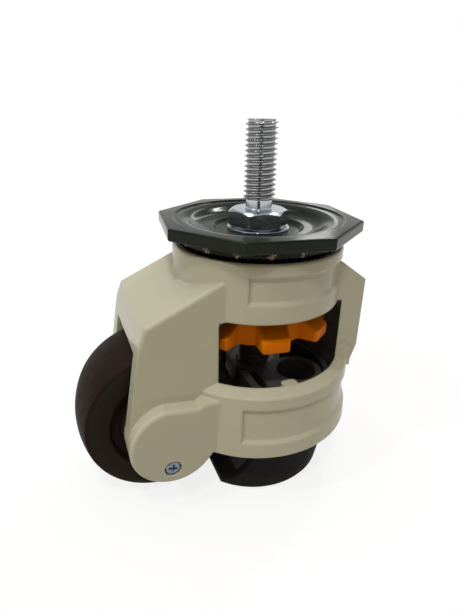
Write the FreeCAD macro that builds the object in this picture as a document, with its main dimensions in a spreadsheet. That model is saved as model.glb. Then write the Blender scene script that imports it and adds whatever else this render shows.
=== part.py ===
import FreeCAD, Part
import Sketcher
import math
import os

# Levelling castor: a nylon wheel behind a threaded stem, and a rubber foot on a screw under it.
# Frame: millimetres, +Z up along the stem, +X away from the wheel, origin at the centre of the
# seat on top of the stem's hexagon. Outlines are drawn from the floor up, and each sub-part is
# then lowered by the seat's height.

SIZES = {
    # wheel and its place
    "wheel_radius": 31.5,
    "wheel_width": 29.8,
    "wheel_crown": 2.4,
    "wheel_setback": 42.3,
    "hub_recess_radius": 20.7,
    "hub_recess_depth": 3.4,
    "hub_radius": 16.0,
    "wheel_bore": 8.2,
    # wheel bearings
    "bearing_radius": 13.0,
    "bearing_bore": 5.0,
    "bearing_width": 8.0,
    "bearing_inset": 0.5,
    "ring_thickness": 2.0,
    "bearing_ball": 2.38,
    "shield_thickness": 0.6,
    # axle and what holds it
    "axle_radius": 5.0,
    "axle_slot_depth": 6.5,
    "collar_radius": 8.0,
    "keeper_length": 9.0,
    "keeper_drop": 9.3,
    "keeper_offset": 1.0,
    "keeper_screw_radius": 1.5,
    "keeper_head_radius": 2.6,
    "keeper_head_height": 1.7,
    "keeper_head_sink": 0.2,
    "counterbore_radius": 3.15,
    # housing, from the skirt up
    "bore_radius": 34.0,
    "skirt_drop": 7.3,
    "skirt_height": 27.0,
    "skirt_wall": 4.7,
    "skirt_flare": 1.3,
    "skirt_top_fall": 1.95,
    "window_height": 23.4,
    "collar_height": 21.7,
    "collar_outer_radius": 32.4,
    "panel_depth": 1.2,
    "panel_soft_edge": 0.8,
    "collar_soft_edge": 1.1,
    "panel_half_angle": 118.5,
    "skirt_panel_rise": 7.6,
    "skirt_panel_height": 12.2,
    "collar_panel_rise": 8.4,
    "collar_panel_height": 8.0,
    "cheek_half_width": 24.0,
    "tunnel_half_width": 17.0,
    "tunnel_clearance": 2.0,
    "lintel_height": 11.7,
    "lintel_thickness": 4.5,
    "roof_reach": 7.2,
    "roof_slope": 0.4717,
    "brow_drop": 5.1,
    "brow_depth": 1.9,
    "roof_wall": 4.8,
    "lobe_radius": 15.8,
    "lobe_half_width": 29.5,
    "lobe_shoulder_drop": 5.4,
    "neck_length": 8.0,
    "pillar_half_width": 19.5,
    "pillar_wall": 4.5,
    "pillar_brow": 14.8,
    "pillar_slope_run": 12.2,
    "pillar_slope_rise": 8.6,
    "pillar_toe": 2.5,
    "lug_width": 5.8,
    "lug_depth": 3.4,
    "lug_corner": 1.4,
    "lug_height": 7.2,
    "soft_edge": 1.4,
    "window_corner": 1.6,
    # swivel head
    "race_gap": 4.4,
    "rim_height": 4.3,
    "plate_radius": 38.7,
    "plate_turn": 15.2,
    "plate_thickness": 3.2,
    "dish_depth": 5.0,
    "dish_floor_radius": 15.6,
    "dish_step_radius": 17.2,
    "dish_shoulder_radius": 20.0,
    "dish_shoulder_height": 1.4,
    "plate_rim_width": 3.95,
    "bead_width": 2.4,
    "bead_height": 0.5,
    "upper_ball": 3.0,
    "race_inset": 4.4,
    "upper_ball_count": 17.0,
    "race_width": 6.2,
    "race_thickness": 2.0,
    "lip_thickness": 3.4,
    "lip_depth": 0.9,
    "lip_hole_radius": 11.5,
    "head_recess_radius": 20.0,
    "lower_ball": 2.25,
    "lower_ball_circle": 15.5,
    "lower_ball_count": 14.0,
    "lower_gap": 3.4,
    "cup_radius": 19.4,
    "cup_thickness": 2.6,
    "cup_cavity_radius": 20.5,
    "shank_radius": 6.0,
    "nut_width": 19.0,
    "nut_height": 4.4,
    "shank_overhang": 0.4,
    # stem
    "stem_radius": 5.9,
    "stem_length": 30.7,
    "stem_chamfer": 1.0,
    "hexagon_width": 20.0,
    "hexagon_height": 6.5,
    "hexagon_turn": -12.0,
    "washer_radius": 11.7,
    "washer_thickness": 1.2,
    # adjuster
    "thrust_plate_inset": 4.1,
    "thrust_plate_thickness": 4.0,
    "plate_screw_radius": 2.0,
    "plate_screw_inset": 3.9,
    "plate_screw_length": 10.0,
    "bush_radius": 8.5,
    "thrust_washer_thickness": 1.0,
    "turning_gap": 0.1,
    "journal_radius": 6.5,
    "journal_overhang": 1.8,
    "clip_radius": 9.0,
    "clip_thickness": 1.0,
    "clip_groove": 0.8,
    "screw_flange_radius": 13.0,
    "screw_flange_thickness": 1.3,
    "drive_radius": 9.0,
    "screw_radius": 7.0,
    "screw_length": 43.0,
    "screw_point": 1.5,
    "thumb_hub_radius": 15.0,
    "thumb_hub_height": 10.2,
    "thumb_thickness": 4.6,
    "thumb_inset": 4.5,
    "thumb_tooth_length": 6.5,
    "thumb_tooth_width": 10.4,
    "thumb_root_width": 12.2,
    "thumb_teeth": 8.0,
    "thumb_turn": -98.0,
    "thumb_corner": 0.8,
    "drive_pin_radius": 2.0,
    "drive_pin_drop": 2.4,
    # foot
    "pad_foot_inset": 2.7,
    "pad_bulge_inset": 0.9,
    "pad_bulge_height": 6.0,
    "pad_inset": 1.8,
    "pad_height": 21.0,
    "pad_sole": 8.0,
    "pad_wall": 3.2,
    "sole_groove_radius": 20.0,
    "sole_groove_width": 3.0,
    "sole_groove_depth": 0.8,
    "foot_heel": 21.5,
    "foot_lift": 4.5,
    "wheel_gap": 0.8,
    "carrier_clearance": 0.6,
    "guide_height": 6.0,
    "guide_wall": 2.4,
    "guide_wall_height": 12.0,
    "carrier_height": 37.0,
    "boss_radius": 11.6,
    "arm_width": 10.0,
    "arm_shift": 1.0,
    "socket_radius": 10.3,
    "socket_wall": 2.4,
    "socket_forward": 12.0,
    "socket_inset": 17.6,
    "back_wall": 3.0,
    "nut_bush_radius": 9.0,
    "nut_bush_flat": 7.8,
    "nut_bush_height": 11.0,
    "pad_screw_radius": 2.5,
    "pad_screw_head": 4.6,
    "pad_screw_head_height": 2.6,
    "pad_screw_length": 9.0,
    # fits
    "fit_gap": 0.03,
    "run_gap": 0.05,
    "ball_gap": 0.15,
}

BEARING_BALLS = 7
BEVEL = 1.4
NECK_ANGLE = 40
SHOULDER_ANGLE = 100
PLATE_SCREWS = 3

doc = FreeCAD.newDocument("levelling_castor")
sheet = doc.addObject("Spreadsheet::Sheet", "Sizes")
parts = []


class Length:
    """A size with its value and the expression that binds it to the sheet."""

    def __init__(self, value, text):
        self.value = float(value)
        self.text = text

    def __add__(self, other):
        other = as_length(other)
        return Length(self.value + other.value, f"({self.text} + {other.text})")

    def __sub__(self, other):
        other = as_length(other)
        return Length(self.value - other.value, f"({self.text} - {other.text})")

    def __mul__(self, other):
        other = as_length(other)
        return Length(self.value * other.value, f"({self.text} * {other.text})")

    def __truediv__(self, other):
        other = as_length(other)
        return Length(self.value / other.value, f"({self.text} / {other.text})")

    def __radd__(self, other):
        return as_length(other) + self

    def __rsub__(self, other):
        return as_length(other) - self

    def __rmul__(self, other):
        return as_length(other) * self

    def __neg__(self):
        return Length(-self.value, f"(0 - {self.text})")


def as_length(value):
    if isinstance(value, Length):
        return value
    return Length(value, f"({value:.9f})")


def root(value):
    return Length(math.sqrt(value.value), f"sqrt({value.text})")


def fill_sheet():
    for row, (name, value) in enumerate(SIZES.items(), start=1):
        sheet.set(f"A{row}", name)
        sheet.set(f"B{row}", str(value))
        sheet.setAlias(f"B{row}", name)
    doc.recompute()


class Sizes:
    """The sheet's cells by name, as lengths that carry their own expression."""

    def __getattr__(self, name):
        return Length(float(getattr(sheet, name)), f"Sizes.{name}")


fill_sheet()
S = Sizes()

# radii that follow from a neighbour and the room between them
skirt_top_radius = S.bore_radius + S.skirt_wall
skirt_foot_radius = skirt_top_radius + S.skirt_flare
pillar_front = S.bore_radius + S.pillar_wall
upper_ball_circle = S.collar_outer_radius - S.race_inset
thrust_plate_radius = S.collar_outer_radius - S.thrust_plate_inset
plate_screw_circle = thrust_plate_radius - S.plate_screw_inset
bead_radius = S.plate_radius * math.cos(math.pi / 8) - S.plate_rim_width
dish_radius = bead_radius - S.bead_width
thumb_radius = S.bore_radius - S.thumb_inset
thumb_valley_radius = thumb_radius - S.thumb_tooth_length
pad_rim_radius = S.bore_radius - S.pad_inset
pad_bulge_radius = pad_rim_radius - S.pad_bulge_inset
pad_radius = pad_rim_radius - S.pad_foot_inset
socket_side = S.bore_radius - S.socket_inset

# heights above the floor, from the wheel up
axle_z = S.wheel_radius
skirt_bottom = axle_z - S.skirt_drop
skirt_top = skirt_bottom + S.skirt_height
roof_z = skirt_top + S.window_height
collar_top = roof_z + S.collar_height
rim_bottom = collar_top + S.race_gap
plate_top = rim_bottom + S.rim_height
dish_floor = plate_top - S.dish_depth
hexagon_bottom = dish_floor + S.washer_thickness
seat_z = hexagon_bottom + S.hexagon_height
tunnel_top = axle_z + S.wheel_radius + S.tunnel_clearance

# heights of the swivel head's lower bearing, from the collar's top down
lip_top = collar_top - S.lip_depth
lip_bottom = lip_top - S.lip_thickness
cup_top = lip_bottom - S.lower_gap
cup_bottom = cup_top - S.cup_thickness
nut_bottom = cup_bottom - S.nut_height
shank_end = nut_bottom - S.shank_overhang
upper_ball_z = collar_top + S.race_gap / 2
lower_ball_z = cup_top + S.lower_gap / 2

# heights of the adjuster, from the housing's roof down
washer_bottom = roof_z - S.thrust_washer_thickness
flange_top = washer_bottom - S.turning_gap
flange_bottom = flange_top - S.screw_flange_thickness
thumb_bottom = flange_bottom - S.thumb_hub_height
thumb_top = thumb_bottom + S.thumb_thickness
screw_end = thumb_bottom - S.screw_length
plate_seat = roof_z + S.thrust_plate_thickness
pin_z = flange_bottom - S.drive_pin_drop

# heights of the foot
carrier_bottom = S.pad_sole
carrier_top = carrier_bottom + S.carrier_height
guide_top = S.pad_height + S.guide_height
carrier_radius = S.bore_radius - S.carrier_clearance

# wheel side, outwards from the middle
wheel_half = S.wheel_width / 2
slot_end = S.tunnel_half_width + S.axle_slot_depth
bearing_outer = wheel_half - S.bearing_inset
bearing_inner = bearing_outer - S.bearing_width
bearing_middle = bearing_outer - S.bearing_width / 2
ball_circle = (S.bearing_radius + S.bearing_bore) / 2


def bind(item, name, length):
    item.setExpression(name, length.text)


def new_body(label):
    body = doc.addObject("PartDesign::Body", label)
    body.Label = label
    parts.append(body)
    return body


def place(item, east=0, north=0, up=0):
    """Set a sub-part on its place: drawn heights are above the floor, the origin is the seat."""
    for axis, shift in (("x", east), ("y", north), ("z", up)):
        bind(item, f"Placement.Base.{axis}", as_length(shift))


def origin_plane(body, role):
    return next(item for item in body.Origin.OriginFeatures if item.Role == role)


def new_sketch(body, name, role, offset=None):
    sketch = body.newObject("Sketcher::SketchObject", name)
    sketch.AttachmentSupport = [(origin_plane(body, role), "")]
    sketch.MapMode = "FlatFace"
    if offset is not None:
        bind(sketch, "AttachmentOffset.Base.z", as_length(offset))
    return sketch


def pin_point(sketch, index, end, point):
    """Bind one end of a sketch line or arc to a place given by two lengths."""
    for kind, length in zip(("DistanceX", "DistanceY"), point):
        length = as_length(length)
        number = sketch.addConstraint(Sketcher.Constraint(kind, -1, 1, index, end, length.value))
        bind(sketch, f"Constraints[{number}]", length)


def vector(point):
    east, up = (as_length(value).value for value in point)
    return FreeCAD.Vector(east, up, 0)


def draw_arc(sketch, start, end, centre, radius, clockwise):
    """Draw an arc about a centre and return its number and which of its ends comes first."""
    first, last = (end, start) if clockwise else (start, end)
    middle = vector(centre)
    angles = []
    for point in (first, last):
        spoke = vector(point) - middle
        angles.append(math.atan2(spoke.y, spoke.x))
    circle = Part.Circle(middle, FreeCAD.Vector(0, 0, 1), as_length(radius).value)
    index = sketch.addGeometry(Part.ArcOfCircle(circle, angles[0], angles[1]), False)
    number = sketch.addConstraint(Sketcher.Constraint("Radius", index, as_length(radius).value))
    bind(sketch, f"Constraints[{number}]", as_length(radius))
    return index, (2, 1) if clockwise else (1, 2)


def outline(sketch, points, arcs=None):
    """Draw a closed outline through the points; arcs gives a side its centre, radius and turn."""
    arcs = arcs or {}
    sides = []
    for number, start in enumerate(points):
        end = points[(number + 1) % len(points)]
        if number in arcs:
            sides.append(draw_arc(sketch, start, end, *arcs[number]))
        else:
            line = Part.LineSegment(vector(start), vector(end))
            sides.append((sketch.addGeometry(line, False), (1, 2)))
    for number, (index, ends) in enumerate(sides):
        after, after_ends = sides[(number + 1) % len(sides)]
        sketch.addConstraint(Sketcher.Constraint("Coincident", index, ends[1], after, after_ends[0]))
    for (index, ends), point in zip(sides, points):
        pin_point(sketch, index, ends[0], point)


def ring_outline(sketch, centre, radius):
    circle = Part.Circle(vector(centre), FreeCAD.Vector(0, 0, 1), as_length(radius).value)
    index = sketch.addGeometry(circle, False)
    pin_point(sketch, index, 3, centre)
    number = sketch.addConstraint(Sketcher.Constraint("Radius", index, as_length(radius).value))
    bind(sketch, f"Constraints[{number}]", as_length(radius))


def box_points(low_east, low_up, high_east, high_up):
    return [(low_east, low_up), (high_east, low_up), (high_east, high_up), (low_east, high_up)]


def polygon_points(sides, radius, turn):
    """Corners of a regular polygon, the first one at the turn in degrees."""
    corners = []
    for number in range(sides):
        angle = math.radians(turn.value + 360 * number / sides)
        corners.append((radius * math.cos(angle), radius * math.sin(angle)))
    return corners


def spin(body, kind, name, sketch, axis="V_Axis", angle=None):
    """Turn a sketch about one of its own axes, adding or cutting; an angle makes a sector."""
    feature = body.newObject(f"PartDesign::{kind}", name)
    feature.Profile = sketch
    feature.ReferenceAxis = (sketch, [axis])
    if angle is None:
        feature.Angle = 360
    else:
        feature.Midplane = True
        bind(feature, "Angle", angle)
    return feature


def turned(body, name, points, arcs=None, cut=False, angle=None):
    """Turn an outline of radius and height about the body's Z axis."""
    sketch = new_sketch(body, f"{name}_outline", "XZ_Plane")
    outline(sketch, points, arcs)
    return spin(body, "Groove" if cut else "Revolution", name, sketch, angle=angle)


def turned_about_y(body, name, points, arcs=None, cut=False):
    """Turn an outline of sideways place and radius about the body's Y axis."""
    sketch = new_sketch(body, f"{name}_outline", "YZ_Plane")
    outline(sketch, points, arcs)
    return spin(body, "Groove" if cut else "Revolution", name, sketch, axis="H_Axis")


def extruded(body, name, sketch, length, cut=False, both_ways=False, backwards=False):
    feature = body.newObject("PartDesign::Pocket" if cut else "PartDesign::Pad", name)
    feature.Profile = sketch
    feature.Reversed = backwards
    if both_ways:
        feature.SideType = "Symmetric"
    bind(feature, "Length", as_length(length))
    return feature


def slab(body, name, points, width, arcs=None, cut=False):
    """Extrude an outline of X and Z evenly to both sides of the middle plane."""
    sketch = new_sketch(body, f"{name}_outline", "XZ_Plane")
    outline(sketch, points, arcs)
    return extruded(body, name, sketch, width, cut=cut, both_ways=True)


def edges_where(shape, test):
    return [f"Edge{number}" for number, edge in enumerate(shape.Edges, start=1) if test(edge)]


def soften(body, name, radius, test):
    """Round the edges of the body so far that pass the test."""
    doc.recompute()
    base = body.Tip
    names = edges_where(base.Shape, test)
    feature = body.newObject("PartDesign::Fillet", name)
    feature.Base = (base, names)
    bind(feature, "Radius", as_length(radius))
    return feature


def ends(edge):
    return edge.firstVertex().Point, edge.lastVertex().Point


def near(value, target, slack=0.02):
    return abs(value - as_length(target).value) < slack


def lies_at_side(edge, half_width):
    """True where both ends and the middle of an edge lie on a plane that far from the middle."""
    places = [point.y for point in ends(edge)]
    places.append(edge.valueAt((edge.FirstParameter + edge.LastParameter) / 2).y)
    return all(near(abs(place_y), half_width) for place_y in places)


def turned_part(label, points, arcs=None):
    body = new_body(label)
    turned(body, f"{label}_turned", points, arcs)
    place(body, up=-seat_z)
    return body


def axle_part(label, points, arcs=None):
    body = new_body(label)
    turned_about_y(body, f"{label}_turned", points, arcs)
    place(body, east=-S.wheel_setback, up=axle_z - seat_z)
    return body


def ball_group(label, count, radius, spots):
    """A group of balls: spots gives each ball's centre from its number."""
    balls = []
    for number in range(count):
        ball = doc.addObject("Part::Sphere", f"{label}_{number}")
        bind(ball, "Radius", radius)
        place(ball, *spots(number))
        balls.append(ball)
    group = doc.addObject("Part::Compound", label)
    group.Label = label
    group.Links = balls
    parts.append(group)
    return group


# the swivel head


def make_stem_bolt():
    """Threaded stem, its hexagon and the shank that holds the swivel head together."""
    body = new_body("stem_bolt")
    corner_radius = S.hexagon_width / math.sqrt(3)
    hexagon = new_sketch(body, "hexagon_outline", "XY_Plane", hexagon_bottom)
    outline(hexagon, polygon_points(6, corner_radius, S.hexagon_turn))
    extruded(body, "hexagon", hexagon, S.hexagon_height)
    flat_radius = S.hexagon_width / 2
    chamfer = [
        (flat_radius, seat_z),
        (flat_radius + 4, seat_z),
        (flat_radius + 4, seat_z - 2),
    ]
    turned(body, "hexagon_chamfer", chamfer, cut=True)
    stem_end = seat_z + S.stem_length
    stem = [
        (0, shank_end),
        (S.shank_radius - S.stem_chamfer, shank_end),
        (S.shank_radius, shank_end + S.stem_chamfer),
        (S.shank_radius, hexagon_bottom + S.hexagon_height / 2),
        (S.stem_radius, hexagon_bottom + S.hexagon_height / 2),
        (S.stem_radius, stem_end - S.stem_chamfer),
        (S.stem_radius - S.stem_chamfer, stem_end),
        (0, stem_end),
    ]
    turned(body, "stem", stem)
    place(body, up=-seat_z)


def make_stem_washer():
    bore = S.shank_radius + S.fit_gap
    turned_part("stem_washer", box_points(bore, dish_floor, S.washer_radius, hexagon_bottom))


def make_top_plate():
    """Pressed eight-sided plate: dished in the middle, with the upper ball groove underneath."""
    body = new_body("top_plate")
    underside = dish_floor - S.plate_thickness
    octagon = new_sketch(body, "octagon_outline", "XY_Plane", underside)
    outline(octagon, polygon_points(8, S.plate_radius, S.plate_turn))
    extruded(body, "octagon", octagon, plate_top - underside)
    step_top = dish_floor + S.dish_shoulder_height
    bead_z = plate_top - S.bead_height
    run, rise = dish_radius - S.dish_shoulder_radius, bead_z - step_top
    curve = (run * run + rise * rise) / (rise * 4)
    middle = ((dish_radius + S.dish_shoulder_radius) / 2, (bead_z + step_top) / 2)
    dish = [
        (0, dish_floor),
        (S.dish_floor_radius, dish_floor),
        (S.dish_step_radius, step_top),
        (S.dish_shoulder_radius, step_top),
        middle,
        (dish_radius, bead_z),
        (bead_radius - 0.3, bead_z),
        (bead_radius, plate_top),
        (bead_radius, plate_top + 1),
        (0, plate_top + 1),
    ]
    bends = {
        3: ((S.dish_shoulder_radius, step_top + curve), curve, False),
        4: ((dish_radius, bead_z - curve), curve, True),
    }
    turned(body, "dish", dish, arcs=bends, cut=True)
    belly_radius = S.dish_floor_radius - 1.6
    inner_rim = upper_ball_circle + S.race_width
    hollow_top = plate_top - S.plate_thickness
    belly = [
        (belly_radius, underside - 1),
        (belly_radius, underside),
        (upper_ball_circle - S.race_width / 2, rim_bottom),
        (upper_ball_circle - S.race_width / 2 + 1, hollow_top - S.bead_height),
        (inner_rim - 1, hollow_top - S.bead_height),
        (inner_rim, rim_bottom),
        (S.plate_radius + 2, rim_bottom),
        (S.plate_radius + 2, underside - 1),
    ]
    turned(body, "belly", belly, cut=True)
    groove = new_sketch(body, "upper_groove_outline", "XZ_Plane")
    ring_outline(groove, (upper_ball_circle, upper_ball_z), S.upper_ball + S.ball_gap)
    spin(body, "Groove", "upper_groove", groove)
    bore = new_sketch(body, "plate_bore_outline", "XY_Plane", underside - 1)
    ring_outline(bore, (0, 0), S.shank_radius + S.fit_gap)
    extruded(body, "plate_bore", bore, S.plate_thickness + 2, cut=True, backwards=True)
    outer = S.plate_radius.value * math.cos(math.pi / 8) - 0.5

    def on_rim(edge):
        first, last = ends(edge)
        far = min(math.hypot(point.x, point.y) for point in (first, last)) > outer
        return far and (near(first.z, plate_top) or near(first.z, rim_bottom) or first.z != last.z)

    soften(body, "rim_softening", 0.8, on_rim)
    place(body, up=-seat_z)


def make_clamp_cup():
    """Lower race: a steel cup under the housing's lip, with a groove for the lower balls."""
    body = new_body("clamp_cup")
    bore = S.shank_radius + S.fit_gap
    turned(body, "cup", box_points(bore, cup_bottom, S.cup_radius, cup_top))
    groove = new_sketch(body, "cup_groove_outline", "XZ_Plane")
    ring_outline(groove, (S.lower_ball_circle, lower_ball_z), S.lower_ball + S.ball_gap)
    spin(body, "Groove", "cup_groove", groove)
    place(body, up=-seat_z)


def make_clamp_nut():
    body = new_body("clamp_nut")
    hexagon = new_sketch(body, "nut_outline", "XY_Plane", nut_bottom)
    outline(hexagon, polygon_points(6, S.nut_width / math.sqrt(3), S.hexagon_turn))
    ring_outline(hexagon, (0, 0), S.shank_radius + S.fit_gap)
    extruded(body, "nut", hexagon, S.nut_height)
    place(body, up=-seat_z)


def make_upper_race():
    """Steel race let into the top of the housing's collar."""
    body = new_body("upper_race")
    half = S.race_width / 2
    section = box_points(
        upper_ball_circle - half,
        collar_top - S.race_thickness,
        upper_ball_circle + half,
        collar_top,
    )
    turned(body, "race", section)
    groove = new_sketch(body, "race_groove_outline", "XZ_Plane")
    ring_outline(groove, (upper_ball_circle, upper_ball_z), S.upper_ball + S.ball_gap)
    spin(body, "Groove", "race_groove", groove)
    place(body, up=-seat_z)


def head_balls(label, count, radius, circle, height):
    def spot(number):
        angle = 2 * math.pi * number / count
        return circle * math.cos(angle), circle * math.sin(angle), height - seat_z

    ball_group(label, count, radius, spot)


# the housing


def add_housing_shells(body):
    """The collar and the skirt, with the sunk panel that runs round the front of each."""
    turned(body, "collar", box_points(0, roof_z, S.collar_outer_radius, collar_top))
    panel_low = roof_z + S.collar_panel_rise
    panel_high = panel_low + S.collar_panel_height
    floor = S.collar_outer_radius - S.panel_depth
    panel = [
        (S.collar_outer_radius + 1, panel_low - 2 * BEVEL),
        (floor, panel_low),
        (floor, panel_high),
        (S.collar_outer_radius + 1, panel_high + BEVEL),
    ]
    turned(body, "collar_panel", panel, cut=True, angle=2 * S.panel_half_angle)

    def on_collar(edge):
        return all(near(math.hypot(point.x, point.y), S.collar_outer_radius) for point in ends(edge))

    def collar_panel_rim(edge):
        heights = [point.z for point in ends(edge)]
        return on_collar(edge) and roof_z.value < min(heights) and max(heights) < collar_top.value

    def collar_rim(edge):
        first, last = ends(edge)
        return on_collar(edge) and (near(first.z, roof_z) or near(last.z, collar_top))

    soften(body, "collar_panel_softening", S.panel_soft_edge, collar_panel_rim)
    soften(body, "collar_softening", S.collar_soft_edge, collar_rim)
    shoulder = skirt_top - S.skirt_top_fall
    skirt = [
        (0, skirt_bottom),
        (skirt_foot_radius, skirt_bottom),
        (skirt_top_radius, shoulder),
        (S.bore_radius + 0.5, skirt_top),
        (0, skirt_top),
    ]
    turned(body, "skirt", skirt)
    panel_low = skirt_bottom + S.skirt_panel_rise
    panel_high = panel_low + S.skirt_panel_height
    lean = (skirt_foot_radius - skirt_top_radius) / (shoulder - skirt_bottom)
    floor_low = skirt_foot_radius - lean * S.skirt_panel_rise - S.panel_depth
    floor_high = floor_low - lean * S.skirt_panel_height
    panel = [
        (skirt_foot_radius + 1, panel_low - 2 * BEVEL),
        (floor_low, panel_low),
        (floor_high, panel_high),
        (skirt_foot_radius + 1, panel_high + BEVEL),
    ]
    turned(body, "skirt_panel", panel, cut=True, angle=2 * S.panel_half_angle)

    def skirt_panel_rim(edge):
        on_skirt = True
        for point in ends(edge):
            radius = skirt_foot_radius - lean * (point.z - skirt_bottom)
            inside = skirt_bottom.value + 1 < point.z < shoulder.value - 1
            on_skirt = on_skirt and inside and near(math.hypot(point.x, point.y), radius)
        return on_skirt

    soften(body, "skirt_panel_softening", S.panel_soft_edge, skirt_panel_rim)


def lobe_point(angle):
    """A point of the lobe's round edge, about the axle, at an angle in degrees."""
    east = S.lobe_radius * math.cos(math.radians(angle)) - S.wheel_setback
    return east, axle_z + S.lobe_radius * math.sin(math.radians(angle))


def neck_end():
    """Where the neck, leaving the lobe's round edge in line with it, has met the skirt."""
    east, up = lobe_point(-NECK_ANGLE)
    angle = math.radians(NECK_ANGLE)
    return east + S.neck_length * math.sin(angle), up + S.neck_length * math.cos(angle)


def add_cheeks(body):
    """The two cheeks as one block under a sloping roof, with the round lobes at the axle."""
    axle = (-S.wheel_setback, axle_z)
    eave = -(S.wheel_setback + S.roof_reach)
    eave_z = tunnel_top + S.lintel_height
    front = -S.collar_outer_radius / 2
    neck = lobe_point(-NECK_ANGLE)
    inner = neck_end()
    cheek = [
        (front, eave_z + (front - eave) * S.roof_slope),
        (eave, eave_z),
        (eave - S.brow_depth, eave_z - S.brow_drop),
        (-(S.wheel_setback + S.lobe_radius), axle_z),
        neck,
        inner,
        (front, inner[1]),
    ]
    turn = (axle, S.lobe_radius, False)
    slab(body, "cheeks", cheek, 2 * S.cheek_half_width, arcs={3: turn})
    shoulder = lobe_point(SHOULDER_ANGLE)
    shelf = skirt_top - S.lobe_shoulder_drop
    step = -(skirt_top_radius - S.lobe_shoulder_drop)
    lobe = [
        shoulder,
        neck,
        inner,
        (inner[0], skirt_top - 2 * S.skirt_top_fall),
        (step + 2, skirt_top - 2 * S.skirt_top_fall),
        (step, shelf),
    ]
    slab(body, "lobes", lobe, 2 * S.lobe_half_width, arcs={0: turn})


def add_pillar(body):
    """The pillar that joins the skirt to the collar at the front."""
    brow_z = skirt_top + S.window_height + S.collar_height - S.pillar_brow
    toe_z = skirt_top + S.skirt_top_fall
    tuck_z = skirt_top - S.lobe_shoulder_drop
    inner = S.collar_outer_radius * 0.7
    pillar = [
        (inner, tuck_z),
        (pillar_front - S.pillar_toe, tuck_z),
        (pillar_front, toe_z),
        (pillar_front, brow_z),
        (pillar_front - S.pillar_slope_run, brow_z + S.pillar_slope_rise),
        (inner, brow_z + S.pillar_slope_rise),
    ]
    slab(body, "pillar", pillar, 2 * S.pillar_half_width)
    ramp = [
        (inner, tuck_z),
        (S.bore_radius, tuck_z),
        (S.bore_radius - 1, skirt_top + 2 * S.skirt_top_fall),
        (inner, skirt_top + 2 * S.skirt_top_fall),
    ]
    slab(body, "pillar_ramp", ramp, 2 * (S.pillar_half_width + 2))


def cut_housing_inside(body):
    """The foot's bore, the wheel's tunnel and the seats inside the collar."""
    turned(body, "bore", box_points(0, skirt_bottom - 12, S.bore_radius, roof_z), cut=True)
    back = -(S.wheel_setback + S.lobe_radius + 4)
    ceiling_back = -(S.wheel_setback + S.roof_reach - S.lintel_thickness)
    ceiling_front = -(S.collar_outer_radius + 2)
    eave_z = tunnel_top + S.lintel_height
    slope_z = eave_z - S.roof_wall
    tunnel = [
        (back, 0),
        (back, tunnel_top),
        (ceiling_back, tunnel_top),
        (ceiling_back, slope_z + S.lintel_thickness * S.roof_slope),
        (ceiling_front, slope_z + (ceiling_front - ceiling_back + S.lintel_thickness) * S.roof_slope),
        (ceiling_front, roof_z),
        (-S.bore_radius / 2, roof_z),
        (-S.bore_radius / 2, 0),
    ]
    slab(body, "tunnel", tunnel, 2 * S.tunnel_half_width, cut=True)
    seats = [
        (0, roof_z - 1),
        (thrust_plate_radius + S.fit_gap, roof_z - 1),
        (thrust_plate_radius + S.fit_gap, plate_seat),
        (S.cup_cavity_radius, plate_seat),
        (S.cup_cavity_radius, lip_bottom),
        (S.lip_hole_radius, lip_bottom),
        (S.lip_hole_radius, lip_top),
        (S.head_recess_radius, lip_top),
        (S.head_recess_radius, collar_top + 1),
        (0, collar_top + 1),
    ]
    turned(body, "seats", seats, cut=True)
    half = S.race_width / 2 + S.fit_gap
    race_seat = box_points(
        upper_ball_circle - half,
        collar_top - S.race_thickness,
        upper_ball_circle + half,
        collar_top + 1,
    )
    turned(body, "race_seat", race_seat, cut=True)
    groove = new_sketch(body, "lip_groove_outline", "XZ_Plane")
    ring_outline(groove, (S.lower_ball_circle, lower_ball_z), S.lower_ball + S.ball_gap)
    spin(body, "Groove", "lip_groove", groove)


def keeper_place():
    return -(S.wheel_setback + S.keeper_offset), axle_z - S.keeper_drop


def cut_axle_seats(body):
    """Blind slots for the axle's ends, open below, and the keeper screws' stepped holes."""
    half = S.axle_radius + S.fit_gap
    west, east = -(S.wheel_setback + half), half - S.wheel_setback
    crest = (-S.wheel_setback, axle_z + half)
    slot = [(west, 0), (east, 0), (east, axle_z), crest, (west, axle_z)]
    turn = ((-S.wheel_setback, axle_z), half, False)
    slab(body, "axle_slots", slot, 2 * slot_end, arcs={2: turn, 3: turn}, cut=True)
    hole = new_sketch(body, "keeper_hole_outline", "XZ_Plane")
    ring_outline(hole, keeper_place(), S.keeper_screw_radius + S.run_gap)
    extruded(body, "keeper_holes", hole, 2 * S.lobe_half_width + 2, cut=True, both_ways=True)
    for side, sign in (("left", 1), ("right", -1)):
        face = new_sketch(body, f"counterbore_{side}_outline", "XZ_Plane", -sign * S.lobe_half_width)
        ring_outline(face, keeper_place(), S.counterbore_radius)
        depth = S.keeper_head_height + S.keeper_head_sink
        extruded(body, f"counterbore_{side}", face, depth, cut=True, backwards=sign > 0)


def add_lugs(body):
    """Two lugs inside the skirt's top that keep the foot from turning."""
    sketch = new_sketch(body, "lugs_outline", "XY_Plane", skirt_top - S.lug_height)
    inner, outer = S.bore_radius - S.lug_depth, S.bore_radius + 0.4
    for sign in (1, -1):
        corners = box_points(-S.lug_width / 2, sign * inner, S.lug_width / 2, sign * outer)
        outline(sketch, corners)
    extruded(body, "lugs", sketch, S.lug_height)

    def lug_corner(edge):
        first, last = ends(edge)
        upright = abs(first.z - last.z) > S.lug_height.value - 0.1
        return upright and near(abs(first.y), inner) and near(abs(first.x), S.lug_width / 2)

    soften(body, "lug_softening", S.lug_corner, lug_corner)


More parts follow.
